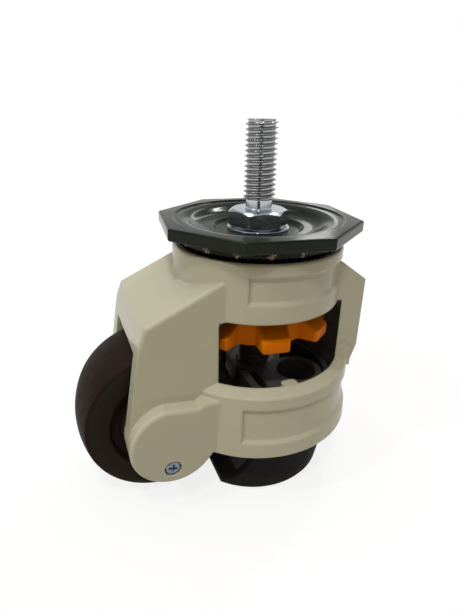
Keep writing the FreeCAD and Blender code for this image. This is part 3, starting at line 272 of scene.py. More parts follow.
def rounded(profile, radius, steps=4, keep=()):
    """Round the corners of a profile, except those whose numbers are kept sharp."""
    points = [Vector(point) for point in profile]
    result = []
    for number, corner in enumerate(points):
        before = points[number - 1] - corner
        after = points[(number + 1) % len(points)] - corner
        reach = min(radius, before.length * 0.45, after.length * 0.45)
        if number in keep or reach < 1e-4:
            result.append(corner)
            continue
        first = corner + before.normalized() * reach
        last = corner + after.normalized() * reach
        result.extend(corner_curve(first, corner, last, steps))
    return [tuple(point) for point in result]


def joined(groups):
    """One list of vertices and faces from several."""
    vertices, faces = [], []
    for group_vertices, group_faces in groups:
        base = len(vertices)
        vertices.extend(group_vertices)
        faces.extend(tuple(base + index for index in face) for face in group_faces)
    return vertices, faces


def moved(group, matrix):
    vertices, faces = group
    return [tuple(matrix @ Vector(vertex)) for vertex in vertices], faces


# node trees


def add_node(tree, kind, inputs=None, **settings):
    """A node with its settings; an input is a value or the socket that it is linked from."""
    node = tree.nodes.new(kind)
    for key, value in settings.items():
        setattr(node, key, value)
    for key, value in (inputs or {}).items():
        socket = node.inputs[key]
        if isinstance(value, bpy.types.NodeSocket):
            tree.links.new(value, socket)
        else:
            socket.default_value = value
    return node


def add_math(tree, operation, first, second=0.0):
    return add_node(tree, "ShaderNodeMath", {0: first, 1: second}, operation=operation).outputs[0]


def add_ramp(tree, value, low, high, bottom=0.0, top=1.0):
    """Bottom where the value is at low, top where it is at high, and held beyond them."""
    return add_node(tree, "ShaderNodeMapRange", {"Value": value, "From Min": low, "From Max": high,
                                                 "To Min": bottom, "To Max": top}).outputs[0]


class Shape:
    """A geometry node tree with named inputs, built one node at a time."""

    def __init__(self, name):
        self.tree = bpy.data.node_groups.new(name, "GeometryNodeTree")
        self.tree.interface.new_socket("Geometry", in_out="OUTPUT",
                                       socket_type="NodeSocketGeometry")
        self.inputs = self.tree.nodes.new("NodeGroupInput")
        self.outputs = self.tree.nodes.new("NodeGroupOutput")
        self.sockets = {}

    def input(self, name, kind):
        socket = self.tree.interface.new_socket(name, in_out="INPUT", socket_type=kind)
        self.sockets[name] = socket.identifier
        return socket

    def value(self, name, default, kind="NodeSocketFloat"):
        self.input(name, kind).default_value = default
        return self.inputs.outputs[name]

    def material(self, name="Finish"):
        self.input(name, "NodeSocketMaterial")
        return self.inputs.outputs[name]

    def node(self, kind, inputs=None, **settings):
        return add_node(self.tree, kind, inputs, **settings)

    def math(self, operation, first, second=0.0):
        return add_math(self.tree, operation, first, second)

    def whole(self, value):
        return self.node("FunctionNodeFloatToInt", {0: value}).outputs[0]

    def lifted(self, geometry, height):
        lift = self.node("ShaderNodeCombineXYZ", {2: height})
        return self.node("GeometryNodeTransform", {"Geometry": geometry,
                                                   "Translation": lift.outputs[0]}).outputs[0]

    def end(self, geometry, finish):
        real = self.node("GeometryNodeRealizeInstances", {"Geometry": geometry})
        merged = self.node("GeometryNodeMergeByDistance", {"Geometry": real.outputs[0],
                                                           "Distance": 1e-6})
        coated = self.node("GeometryNodeSetMaterial", {"Geometry": merged.outputs[0],
                                                       "Material": finish})
        self.tree.links.new(coated.outputs[0], self.outputs.inputs["Geometry"])

    def bake(self, values):
        """Run the tree with these inputs and return the mesh it makes."""
        carrier = bpy.data.objects.new(self.tree.name, bpy.data.meshes.new(self.tree.name))
        SCENE.collection.objects.link(carrier)
        modifier = carrier.modifiers.new("nodes", "NODES")
        modifier.node_group = self.tree
        for name, value in values.items():
            modifier[self.sockets[name]] = value
        graph = bpy.context.evaluated_depsgraph_get()
        mesh = bpy.data.meshes.new_from_object(carrier.evaluated_get(graph))
        carrier.modifiers.remove(modifier)
        bpy.data.objects.remove(carrier)
        return mesh


def screw_thread():
    """A right-hand screw thread about Z: a grid wound into a helix with a trapezium section."""
    shape = Shape("screw_thread")
    radius = shape.value("Outer Radius", 0.005)
    depth = shape.value("Depth", 0.00092)
    pitch = shape.value("Pitch", 0.0015)
    low = shape.value("Low End", 0.0)
    high = shape.value("High End", 0.03)
    low_runout = shape.value("Low Runout", 0.001)
    chamfer = shape.value("Chamfer", 0.001)
    columns = shape.value("Columns", 48, "NodeSocketInt")
    rows_a_turn = shape.value("Rows a Turn", 16, "NodeSocketInt")
    finish = shape.material()
    span = shape.math("SUBTRACT", high, low)
    turns = shape.math("CEIL", shape.math("DIVIDE", span, pitch))
    turns = shape.math("ADD", turns, 1.0)
    rows = shape.math("ADD", shape.math("MULTIPLY", turns, rows_a_turn), 1.0)
    grid = shape.node("GeometryNodeMeshGrid", {
        "Size X": 1.0,
        "Size Y": 1.0,
        "Vertices X": shape.whole(shape.math("ADD", columns, 1.0)),
        "Vertices Y": shape.whole(rows),
    })
    place = shape.node("GeometryNodeInputPosition")
    split = shape.node("ShaderNodeSeparateXYZ", {0: place.outputs[0]})
    share = shape.math("ADD", split.outputs[0], 0.5)
    wound = shape.math("MULTIPLY", shape.math("ADD", split.outputs[1], 0.5), turns)
    height = shape.math("SUBTRACT", shape.math("ADD", wound, share), 1.0)
    height = shape.math("ADD", shape.math("MULTIPLY", height, pitch), low)
    height = shape.math("MINIMUM", shape.math("MAXIMUM", height, low), high)
    phase = shape.math("SUBTRACT", shape.math("FRACT", wound), 0.5)
    from_valley = shape.math("MULTIPLY", shape.math("ABSOLUTE", phase), 2.0)
    sunk = add_ramp(shape.tree, from_valley, VALLEY_END, CREST_START, 1.0, 0.0)
    above = shape.math("SUBTRACT", height, low)
    grown = add_ramp(shape.tree, above, 0.0, low_runout)
    cut = shape.math("MULTIPLY", shape.math("MULTIPLY", sunk, grown), depth)
    reach = shape.math("SUBTRACT", radius, cut)
    end_radius = shape.math("SUBTRACT", radius, chamfer)
    cone = shape.math("ADD", end_radius, shape.math("SUBTRACT", high, height))
    reach = shape.math("MINIMUM", reach, cone)
    angle = shape.math("MULTIPLY", share, 2 * math.pi)
    east = shape.math("MULTIPLY", reach, shape.math("COSINE", angle))
    north = shape.math("MULTIPLY", reach, shape.math("SINE", angle))
    spot = shape.node("ShaderNodeCombineXYZ", {0: east, 1: north, 2: height})
    wound_grid = shape.node("GeometryNodeSetPosition", {"Geometry": grid.outputs[0],
                                                        "Position": spot.outputs[0]})
    parts = [wound_grid.outputs[0]]
    for cap_radius, cap_height in ((end_radius, high), (radius, low)):
        disc = shape.node("GeometryNodeMeshCircle", {"Vertices": columns, "Radius": cap_radius},
                          fill_type="NGON")
        parts.append(shape.lifted(disc.outputs[0], cap_height))
    whole = shape.node("GeometryNodeJoinGeometry")
    for part in parts:
        shape.tree.links.new(part, whole.inputs[0])
    shape.end(whole.outputs[0], finish)
    return shape


def ball_ring():
    """Balls set evenly round a circle about Z."""
    shape = Shape("ball_ring")
    count = shape.value("Count", 17, "NodeSocketInt")
    circle = shape.value("Circle Radius", 0.028)
    radius = shape.value("Ball Radius", 0.003)
    level = shape.value("Level", 0.0)
    finish = shape.material()
    ring = shape.node("GeometryNodeMeshCircle", {"Vertices": count, "Radius": circle})
    raised = shape.lifted(ring.outputs[0], level)
    ball = shape.node("GeometryNodeMeshUVSphere", {"Segments": 28, "Rings": 18, "Radius": radius})
    smooth = shape.node("GeometryNodeSetShadeSmooth", {"Geometry": ball.outputs[0]})
    balls = shape.node("GeometryNodeInstanceOnPoints", {"Points": raised,
                                                        "Instance": smooth.outputs[0]})
    shape.end(balls.outputs[0], finish)
    return shape


# finishes


class Finish:
    """A material on the object's own coordinates, built up from named layers."""

    def __init__(self, name, color, roughness, **sockets):
        self.material = bpy.data.materials.new(name)
        self.material.use_nodes = True
        self.tree = self.material.node_tree
        self.shader = self.tree.nodes["Principled BSDF"]
        self.shader.inputs["Base Color"].default_value = (*color, 1.0)
        self.shader.inputs["Roughness"].default_value = roughness
        for key, value in sockets.items():
            self.shader.inputs[key.replace("_", " ")].default_value = value
        self.place = self.tree.nodes.new("ShaderNodeTexCoord").outputs["Object"]
        self.normal = None

    def node(self, kind, inputs=None, **settings):
        return add_node(self.tree, kind, inputs, **settings)

    def math(self, operation, first, second=0.0):
        return add_math(self.tree, operation, first, second)

    def ramp(self, value, low, high, bottom=0.0, top=1.0):
        return add_ramp(self.tree, value, low, high, bottom, top)

    def noise(self, scale, detail, stretch):
        """Noise with its scale in features a metre, stretched along the axes."""
        mapped = self.node("ShaderNodeMapping", {"Vector": self.place, "Scale": stretch})
        return self.node("ShaderNodeTexNoise", {
            "Vector": mapped.outputs[0],
            "Scale": scale,
            "Detail": detail,
            "Roughness": NOISE_ROUGHNESS,
        }).outputs[0]

    def color_layer(self, share, color):
        """Lay a colour over what the base colour is so far, where the share says."""
        mix = self.node("ShaderNodeMix", {"Factor": share, "B": (*color, 1.0)}, data_type="RGBA")
        base = self.shader.inputs["Base Color"]
        if base.links:
            self.tree.links.new(base.links[0].from_socket, mix.inputs["A"])
        else:
            mix.inputs["A"].default_value = base.default_value
        self.tree.links.new(mix.outputs["Result"], base)

    def mottle(self, color, scale, low, high, share, detail=3.0, stretch=EVEN):
        """Lay a second colour over the first in cloudy spots, up to this share."""
        cloud = self.noise(scale, detail, stretch)
        self.color_layer(self.ramp(cloud, low, high, 0.0, share), color)

    def uneven_gloss(self, smooth, rough, scale, detail=2.0, stretch=EVEN):
        """Let the roughness wander between these two."""
        roughness = self.ramp(self.noise(scale, detail, stretch), 0.3, 0.7, smooth, rough)
        self.tree.links.new(roughness, self.shader.inputs["Roughness"])

    def soft_edges(self, radius):
        """Let sharp edges catch the light as if they had this small round."""
        bevel = self.node("ShaderNodeBevel", {"Radius": radius}, samples=EDGE_SAMPLES)
        self.set_normal(bevel.outputs[0])

    def grain(self, height, strength, scale, detail=2.0, stretch=EVEN):
        """Fine relief of this height over the soft edges."""
        relief = self.noise(scale, detail, stretch)
        bump = self.node("ShaderNodeBump", {"Height": relief, "Distance": height,
                                            "Strength": strength})
        if self.normal is not None:
            self.tree.links.new(self.normal, bump.inputs["Normal"])
        self.set_normal(bump.outputs[0])

    def set_normal(self, normal):
        self.normal = normal
        for name in ("Normal", "Coat Normal"):
            self.tree.links.new(normal, self.shader.inputs[name])


def ivory_paint():
    """Glossy ivory paint over a die casting, with painted shade darkening the bore inside the
    window.
    """
    finish = Finish("ivory_paint", (0.56, 0.54, 0.4), 0.5, Specular_IOR_Level=0.1,
                    Coat_Weight=0.5, Coat_Roughness=0.08)
    finish.soft_edges(0.0008)
    finish.mottle((0.53, 0.505, 0.37), 30.0, 0.35, 0.75, share=0.3, detail=2.0)
    # painted shade: inside the bore, below its roof and clear of the lugs' tops, the ivory turns
    # dark brown-grey
    split = finish.node("ShaderNodeSeparateXYZ", {0: finish.place})
    east, north, height = split.outputs
    flat = finish.node("ShaderNodeCombineXYZ", {0: east, 1: north})
    radius = finish.node("ShaderNodeVectorMath", {0: flat.outputs[0]}, operation="LENGTH")
    within = finish.ramp(radius.outputs["Value"], *BORE_WALL)
    past_lugs = finish.math("MAXIMUM", finish.ramp(height, *ABOVE_LUGS),
                            finish.ramp(east, *BESIDE_LUGS))
    below_roof = finish.ramp(height, *BORE_ROOF)
    painted_bore_shade = finish.math("MULTIPLY", finish.math("MULTIPLY", within, past_lugs), below_roof)
    finish.color_layer(painted_bore_shade, (0.11, 0.093, 0.08))
    finish.uneven_gloss(0.42, 0.55, 120.0)
    finish.grain(0.00003, 0.4, 420.0)
    return finish.material


def green_lacquer():
    """Near-black green gloss lacquer on pressed steel."""
    finish = Finish("green_black_lacquer", (0.009, 0.013, 0.006), 0.2, Specular_IOR_Level=0.15)
    finish.soft_edges(0.0006)
    finish.mottle((0.012, 0.021, 0.01), 60.0, 0.4, 0.7, share=0.6)
    finish.uneven_gloss(0.15, 0.2, 160.0)
    finish.grain(0.000004, 0.2, 700.0, detail=1.0)
    return finish.material


def zinc_plate(name, tint, smooth, rough):
    """Zinc plate with a slightly uneven gloss and soft edges."""
    finish = Finish(name, tint, smooth, Metallic=1.0)
    finish.soft_edges(0.0003)
    finish.mottle(tuple(channel * 0.85 for channel in tint), 300.0, 0.5, 0.8, share=0.3)
    finish.uneven_gloss(smooth, rough, 300.0)
    finish.grain(0.00001, 0.3, 900.0)
    return finish.material


def black_oxide():
    """Oiled black oxide with worn, slightly paler spots."""
    finish = Finish("oiled_black_oxide", (0.1, 0.097, 0.09), 0.32, Metallic=0.6)
    finish.mottle((0.15, 0.14, 0.125), 300.0, 0.5, 0.75, share=0.5)
    finish.uneven_gloss(0.26, 0.45, 420.0, detail=3.0)
    finish.grain(0.00008, 0.3, 800.0)
    return finish.material


def ground_steel():
    """Bearing and axle steel with faint grinding marks."""
    along = (1.0, 1.0, 6.0)
    finish = Finish("ground_steel", (0.5, 0.5, 0.5), 0.22, Metallic=1.0)
    finish.mottle((0.36, 0.36, 0.35), 260.0, 0.4, 0.8, share=0.35, detail=2.0)
    finish.uneven_gloss(0.18, 0.32, 380.0, stretch=along)
    finish.grain(0.00004, 0.3, 1200.0, detail=1.0, stretch=along)
    return finish.material


def sintered_bronze():
    """Oily, finely porous bearing bronze."""
    finish = Finish("sintered_bronze", (0.45, 0.29, 0.15), 0.4, Metallic=1.0)
    finish.mottle((0.26, 0.16, 0.09), 1500.0, 0.45, 0.6, share=0.6)
    finish.uneven_gloss(0.35, 0.5, 600.0)
    finish.grain(0.00008, 0.5, 2200.0)
    return finish.material


def wheel_nylon():
    """Dark brown moulded nylon: dull sheen, faint flow marks and fine grain, with painted light
    making the side faces lighter and greyer than the tread.
    """
    finish = Finish("dark_brown_nylon", (0.02, 0.0125, 0.0105), 0.6, Specular_IOR_Level=0.04)
    finish.mottle((0.03, 0.019, 0.0165), 60.0, 0.4, 0.75, share=0.5, stretch=(1.0, 3.0, 1.0))
    # painted light: beyond WHEEL_SIDES from the wheel's middle the side faces get a lighter,
    # greyer brown than the tread
    split = finish.node("ShaderNodeSeparateXYZ", {0: finish.place})
    aside = finish.math("ABSOLUTE", split.outputs[1])
    finish.color_layer(finish.ramp(aside, *WHEEL_SIDES), (0.025, 0.02, 0.016))
    finish.uneven_gloss(0.5, 0.65, 240.0, detail=3.0)
    finish.grain(0.00006, 0.3, 1300.0)
    return finish.material


def orange_moulding():
    """Bright orange plastic with a soft sheen."""
    finish = Finish("orange_moulding", (0.78, 0.2, 0.0005), 0.36, Subsurface_Weight=0.1,
                    Subsurface_Radius=(0.002, 0.0008, 0.0002), Specular_IOR_Level=0.07)
    finish.soft_edges(0.0005)
    finish.mottle((0.68, 0.155, 0.001), 90.0, 0.4, 0.75, share=0.4, detail=2.0)
    finish.uneven_gloss(0.32, 0.44, 260.0)
    finish.grain(0.00005, 0.3, 900.0)
    return finish.material


def black_moulding():
    """Black plastic of the foot's carrier, painted a lighter grey as painted light inside the
    window, with paler cloudy spots.
    """
    # painted light: the base colour is a lighter grey than black plastic, standing in for light
    # reaching the carrier
    finish = Finish("black_moulding", (0.06, 0.058, 0.06), 0.42, Specular_IOR_Level=0.3)
    finish.mottle((0.085, 0.08, 0.08), 160.0, 0.45, 0.75, share=0.5)
    finish.uneven_gloss(0.36, 0.5, 300.0)
    finish.grain(0.00006, 0.3, 1400.0)
    return finish.material


def foot_rubber():
    """Dull black rubber with a trace of dust."""
    finish = Finish("foot_rubber", (0.029, 0.029, 0.032), 0.6, Specular_IOR_Level=0.015)
    finish.mottle((0.042, 0.041, 0.042), 140.0, 0.5, 0.8, share=0.35, detail=5.0)
    finish.uneven_gloss(0.5, 0.65, 320.0, detail=3.0)
    finish.grain(0.00007, 0.35, 1100.0, detail=3.0)
    return finish.material


def greasy_steel():
    """Balls under a brown film of grease."""
    finish = Finish("greasy_steel", (0.15, 0.11, 0.08), 0.22, Metallic=1.0)
    finish.mottle((0.012, 0.008, 0.005), 1100.0, 0.45, 0.55, share=0.95, detail=2.0)
    finish.uneven_gloss(0.12, 0.35, 900.0)
    finish.grain(0.0002, 0.6, 1100.0)
    return finish.material


def race_grease():
    """Old dark brown grease, wet enough to glint."""
    finish = Finish("race_grease", (0.004, 0.003, 0.0025), 0.3, Specular_IOR_Level=0.15)
    finish.mottle((0.012, 0.008, 0.005), 500.0, 0.55, 0.75, share=0.6)
    finish.uneven_gloss(0.22, 0.4, 900.0)
    finish.grain(0.0002, 0.5, 500.0)
    return finish.material


# the pieces


def hexagon_head(turn, width, low, high, bore):
    """A bolt's hexagon with its chamfer cones and a small round on each corner."""
    flat = width / 2
    soft = flat / math.cos(math.pi / 6) - HEXAGON_CORNER
    shoulder = flat * HEXAGON_SHOULDER
    slope = math.tan(math.radians(HEXAGON_CHAMFER))

    def rim(angle):
        local = (angle - math.radians(turn) + math.pi / 6) % (math.pi / 3) - math.pi / 6
        radius = min(flat / math.cos(math.pi / 6 - abs(local)), soft)
        fall = max(0.0, (radius - shoulder) * slope)
        return [(bore, low), (shoulder, low), (radius, low + fall), (radius, high - fall),
                (shoulder, high), (bore, high)]

    return turned(even_angles(HEXAGON_STEPS), rim)


def make_stem(thread, zinc, lit_zinc):
    """The stem with its real thread, the neck, the hexagon and the shank in the swivel head."""
    threaded = thread.bake({
        "Outer Radius": STEM_RADIUS * MM,
        "Depth": STEM_DEPTH * MM,
        "Pitch": STEM_PITCH * MM,
        "Low End": NECK_TOP * MM,
        "High End": STEM_TOP * MM,
        "Low Runout": STEM_RUNOUT * MM,
        "Chamfer": STEM_CHAMFER * MM,
        "Finish": zinc,
    })
    stem = finish_piece("stem_thread", threaded, 28.0)
    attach(stem, "mount")
    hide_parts("stem_bolt")
    shank = lathe(rounded([(0, SHANK_LOW), (SHANK_RADIUS, SHANK_LOW), (SHANK_RADIUS, SHANK_HIGH),
                           (0, SHANK_HIGH)], 0.6, keep=(0, 3)), 64)
    head = hexagon_head(HEXAGON_TURN, HEXAGON_WIDTH, HEXAGON_LOW, 0.0, HEXAGON_BORE)
    foot, top = NECK_RADIUS + NECK_FLARE, NECK_TOP + NECK_OVERLAP
    neck = lathe([(0, -NECK_SUNK), (foot, -NECK_SUNK), (foot, 0), (NECK_RADIUS, NECK_FLARE),
                  (NECK_RADIUS - NECK_TAPER, top), (0, top)], 64)
    vertices, faces = joined([head, neck, shank])
    nut = new_piece("stem_hexagon", vertices, faces, lit_zinc, 24.0)
    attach(nut, "mount")


def make_adjuster(thread, steel):
    """The adjusting screw: its thread, and above it shoulder, thrust flange and journal."""
    threaded = thread.bake({
        "Outer Radius": SCREW_RADIUS * MM,
        "Depth": SCREW_DEPTH * MM,
        "Pitch": SCREW_PITCH * MM,
        "Low End": SCREW_LOW * MM,
        "High End": (THUMB_LOW + SCREW_OVERLAP) * MM,
        "Low Runout": SCREW_RUNOUT * MM,
        "Chamfer": SCREW_CHAMFER * MM,
        "Finish": steel,
    })
    screw = finish_piece("adjuster_thread", threaded, 28.0)
    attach(screw, "adjuster")
    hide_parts("adjuster_screw")
    profile = [(0, THUMB_LOW - 1), (SHOULDER_FOOT, THUMB_LOW - 1),
               (SHOULDER_RADIUS, THUMB_LOW + 0.5), (SHOULDER_RADIUS, FLANGE_LOW),
               (FLANGE_RADIUS, FLANGE_LOW), (FLANGE_RADIUS, FLANGE_HIGH),
               (JOURNAL_RADIUS, FLANGE_HIGH), (JOURNAL_RADIUS, GROOVE_LOW),
               (GROOVE_RADIUS, GROOVE_LOW), (GROOVE_RADIUS, GROOVE_HIGH),
               (JOURNAL_RADIUS, GROOVE_HIGH), (JOURNAL_RADIUS, JOURNAL_TOP), (0, JOURNAL_TOP)]
    vertices, faces = lathe(rounded(profile, SCREW_ROUND, 3, keep=(0, len(profile) - 1)), 72)
    shoulder = new_piece("adjuster_shoulder", vertices, faces, steel)
    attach(shoulder, "adjuster")


def make_balls(ring, steel):
    """The upper row of balls, of which the grease leaves a little to be seen."""
    mesh = ring.bake({
        "Count": BALL_COUNT,
        "Circle Radius": BALL_CIRCLE * MM,
        "Ball Radius": BALL_RADIUS * MM,
        "Level": BALL_LEVEL * MM,
        "Finish": steel,
    })
    balls = finish_piece("race_balls", mesh, 60.0)
    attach(balls, "housing")
    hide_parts("upper_balls")


def make_grease(grease):
    """A lumpy ring of grease that fills the gap and all but covers the balls."""
    rows = [(25.2, COLLAR_TOP - 0.2, 0.0), (29.8, COLLAR_TOP + 0.05, 0.1),
            (30.4, COLLAR_TOP + 0.9, 0.3), (30.7, BALL_LEVEL - 0.5, 0.3),
            (30.7, BALL_LEVEL + 0.6, 0.3), (30.4, RIM_LOW - 0.9, 0.3),
            (29.8, RIM_LOW + 0.05, 0.1), (25.2, RIM_LOW, 0.0)]

    def section(angle):
        near_ball = 0.5 + 0.5 * math.cos(BALL_COUNT * angle)
        points = []
        for number, (radius, height, swing) in enumerate(rows):
            lump = sum(math.sin(count * angle + shift * number) for count, shift in LUMPS)
            swell = LUMP_SHARE * lump + BALL_SHARE * near_ball - BALL_SHARE
            points.append((radius + swing * swell, height))
        return points

    vertices, faces = turned(even_angles(GREASE_STEPS), section)
    bead = new_piece("ball_grease", vertices, faces, grease, 60.0)
    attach(bead, "housing")


def thumb_outline():
    """The thumbwheel's plan: eight blocky teeth that narrow outwards, all corners rounded."""

    def on_valley(angle):
        return Vector((math.cos(angle), math.sin(angle))) * TOOTH_VALLEY

    pitch = 360 / TOOTH_COUNT
    foot = math.sqrt(TOOTH_VALLEY * TOOTH_VALLEY - TOOTH_ROOT_HALF * TOOTH_ROOT_HALF)
    half_foot = math.atan2(TOOTH_ROOT_HALF, foot)
    span = math.radians(pitch) - 2 * half_foot
    rounds = (TOOTH_ROOT_ROUND, TOOTH_TIP_ROUND, TOOTH_TIP_ROUND, TOOTH_ROOT_ROUND)
    points = []
    for number in range(TOOTH_COUNT):
        middle = math.radians(THUMB_TURN + pitch * number)
        along = Vector((math.cos(middle), math.sin(middle)))
        across = Vector((-along.y, along.x))
        start = middle + half_foot + span * GAP_END
        line = [on_valley(middle - half_foot - span * GAP_END),
                along * foot - across * TOOTH_ROOT_HALF,
                along * TOOTH_TIP - across * TOOTH_TIP_HALF,
                along * TOOTH_TIP + across * TOOTH_TIP_HALF,
                along * foot + across * TOOTH_ROOT_HALF,
                on_valley(start)]
        for before, corner, after, reach in zip(line, line[1:], line[2:], rounds):
            first = corner + (before - corner).normalized() * reach
            last = corner + (after - corner).normalized() * reach
            points.extend(corner_curve(first, corner, last, 4))
        for step in range(1, 5):
            points.append(on_valley(start + span * GAP_MIDDLE * step / 5))
    return points


def make_thumbwheel(orange):
    """Flat below; the teeth's tops rise inwards to a thick middle, and a hub meets the flange."""
    outline = thumb_outline()
    count = len(outline)
    crown = THUMB_HIGH + TOOTH_RISE
    normals = []
    for number, point in enumerate(outline):
        before, after = outline[number - 1], outline[(number + 1) % count]
        normal = (point - before).normalized() + (after - point).normalized()
        normals.append(Vector((normal.y, -normal.x)).normalized())

    def top(radius):
        risen = min(1.0, max(0.0, (RISE_START - radius) / RISE_LENGTH))
        return THUMB_HIGH + (crown - THUMB_HIGH) * risen

    # how far each layer is drawn in, and its height at a radius, from the underside to the top
    layers = [
        (TOOTH_EDGE, lambda radius: THUMB_LOW),
        (TOOTH_EDGE * 0.3, lambda radius: THUMB_LOW + TOOTH_EDGE * 0.3),
        (0, lambda radius: THUMB_LOW + TOOTH_EDGE),
        (0, lambda radius: top(radius) - TOOTH_EDGE),
        (TOOTH_EDGE * 0.3, lambda radius: top(radius) - TOOTH_EDGE * 0.3),
        (TOOTH_EDGE, top),
    ]
    vertices = []
    for shrink, height_at in layers:
        for point, normal in zip(outline, normals):
            spot = point - normal * shrink
            vertices.append((spot.x, spot.y, height_at(point.length)))
    for reach in (CROWN_RADIUS, EYE_RADIUS):
        for point in outline:
            spot = point.normalized() * reach
            vertices.append((spot.x, spot.y, crown))
    last = len(vertices) - count
    faces = []
    for low in range(0, last, count):
        high = low + count
        for number in range(count):
            after = (number + 1) % count
            faces.append((low + number, low + after, high + after, high + number))
    faces.append(tuple(range(count - 1, -1, -1)))
    faces.append(tuple(range(last, last + count)))
    hub = lathe(rounded([(HUB_BORE, THUMB_LOW + 0.8), (HUB_RADIUS - 1, THUMB_LOW + 0.8),
                         (HUB_RADIUS, THUMB_HIGH), (HUB_RADIUS, FLANGE_LOW),
                         (HUB_BORE, FLANGE_LOW)], 0.4), 72)
    vertices, faces = joined([(vertices, faces), hub])
    wheel = new_piece("thumbwheel_moulding", vertices, faces, orange, 40.0)
    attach(wheel, "adjuster")
    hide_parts("thumbwheel")


def make_wheel(nylon):
    """The wheel as one turned moulding with a crowned tread and recessed sides."""
    half = WHEEL_HALF
    crown = (half * half + TREAD_SAG * TREAD_SAG) / (2 * TREAD_SAG)
    side = [(WHEEL_BORE, half), (15.6, half), (16.2, half - 0.3), (16.9, half - 3.1),
            (17.4, half - 3.4), (19.4, half - 3.4), (19.9, half - 3.1), (20.5, half - 0.4),
            (21.1, half), (26.5, half), (27.8, half - 0.15), (28.6, half - 0.6)]
    ends = (0, 2 * TREAD_HALF_STEPS)
    tread = []
    for step in range(2 * TREAD_HALF_STEPS + 1):
        across = (half - TREAD_EDGE) * (1 - step / TREAD_HALF_STEPS)
        radius = WHEEL_RADIUS - crown + math.sqrt(crown * crown - across * across)
        tread.append((radius - (TREAD_EDGE_DROP if step in ends else 0.0), across))
    other = [(radius, -across) for radius, across in reversed(side)]
    bore = [(WHEEL_BORE, -WEB_HALF), (WEB_BORE, -WEB_HALF), (WEB_BORE, WEB_HALF),
            (WHEEL_BORE, WEB_HALF)]
    group = lathe(side + tread + other + bore, 160)
    turn = Matrix.Translation(WHEEL_PLACE) @ Matrix.Rotation(math.radians(90), 4, "X")
    vertices, faces = moved(group, turn)
    wheel = new_piece("wheel_moulding", vertices, faces, nylon, 40.0)
    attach(wheel, "wheel")
    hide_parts("wheel")


def cross_head_screw(head, height, shank, length):
    """A pan-head screw along +Z with its head's top at zero and a cross recess in it."""
    arm, half_slot = head * CROSS_ARM, head * CROSS_HALF_SLOT
    edge = math.atan2(half_slot, arm)
    angles = even_angles(48)
    for quarter in range(4):
        angles += [quarter * math.pi / 2 + turn for turn in (edge, -edge)]
    angles = sorted({round(angle % (2 * math.pi), 6) for angle in angles})

    def section(angle):
        local = (angle + math.pi / 4) % (math.pi / 2) - math.pi / 4
        cross = min(arm / math.cos(local), half_slot / max(abs(math.sin(local)), 1e-6))
        return [(0, -height * 0.75), (cross * 0.6, -height * 0.6), (cross, 0), (head * 0.72, 0),
                (head * 0.86, -height * 0.06), (head * 0.96, -height * 0.2),
                (head, -height * 0.4), (head, -height), (shank, -height),
                (shank, -height - length), (0, -height - length)]

    return turned(angles, section, closed=False)


def make_screws(zinc):
    """The cross-head screws: two in the keepers, three in the thrust plate, two in the foot."""
    east, north, level = KEEPER_SCREW_PLACE
    for side, sign in (("left", 1), ("right", -1)):
        face = Matrix.Rotation(math.radians(-90 * sign), 4, "X")
        face = face @ Matrix.Rotation(KEEPER_CROSS_TURN, 4, "Z")
        turn = Matrix.Translation((east, sign * north, level)) @ face
        vertices, faces = moved(cross_head_screw(*KEEPER_SCREW), turn)
        screw = new_piece(f"keeper_cross_{side}", vertices, faces, zinc, 30.0)
        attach(screw, "housing")
        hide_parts(f"keeper_screw_{side}")
    groups = []
    for number, angle in enumerate(even_angles(PLATE_SCREW_COUNT)):
        place = Matrix.Translation((PLATE_SCREW_CIRCLE * math.cos(angle),
                                    PLATE_SCREW_CIRCLE * math.sin(angle), PLATE_SCREW_LEVEL))
        turn = place @ Matrix.Rotation(math.pi, 4, "X")
        turn = turn @ Matrix.Rotation(PLATE_CROSS_TURN * number, 4, "Z")
        groups.append(moved(cross_head_screw(*PLATE_SCREW), turn))
    vertices, faces = joined(groups)
    screws = new_piece("plate_cross_screws", vertices, faces, zinc, 30.0)
    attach(screws, "housing")
    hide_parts("plate_screws")
    east, north, level = PAD_SCREW_PLACE
    groups = []
    for number, sign in enumerate((1, -1)):
        turn = Matrix.Translation((east, sign * north, level))
        turn = turn @ Matrix.Rotation(number + PAD_CROSS_TURN, 4, "Z")
        groups.append(moved(cross_head_screw(*PAD_SCREW), turn))
    vertices, faces = joined(groups)
    screws = new_piece("pad_cross_screws", vertices, faces, zinc, 30.0)
    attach(screws, "foot")
    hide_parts("pad_screws")


def set_finish(names, material):
    for name in names:
        node = NODES[name]
        node.data.materials.clear()
        node.data.materials.append(material)


# the room


def make_camera():
    """The camera at the photograph's angle."""
    back = CAMERA_BACK.normalized()
    up = back.cross(CAMERA_RIGHT).normalized()
    right = up.cross(back).normalized()
    data = bpy.data.cameras.new("photo_view")
    data.sensor_width = 36.0
    data.sensor_fit = "AUTO"
    data.lens = CAMERA_LENS
    data.clip_start = 0.01
    camera = bpy.data.objects.new("photo_view", data)
    SCENE.collection.objects.link(camera)
    axes = Matrix((right, up, back)).transposed().to_4x4()
    camera.matrix_world = Matrix.Translation(CAMERA_PLACE) @ axes
    SCENE.camera = camera


def make_lamp(name, place, aim, size, power):
    data = bpy.data.lights.new(name, "AREA")
    data.shape = "RECTANGLE"
    data.size, data.size_y = size
    data.energy = power
    lamp = bpy.data.objects.new(name, data)
    SCENE.collection.objects.link(lamp)
    lamp.location = place
    lamp.rotation_euler = (Vector(aim) - Vector(place)).to_track_quat("-Z", "Y").to_euler()


def seen_share(tree):
    """One for camera, glossy and transmission rays, which all see the white background."""
    path = tree.nodes.new("ShaderNodeLightPath")
    share = path.outputs["Is Camera Ray"]
    for kind in ("Is Glossy Ray", "Is Transmission Ray"):
        share = add_math(tree, "MAXIMUM", share, path.outputs[kind])
    return share


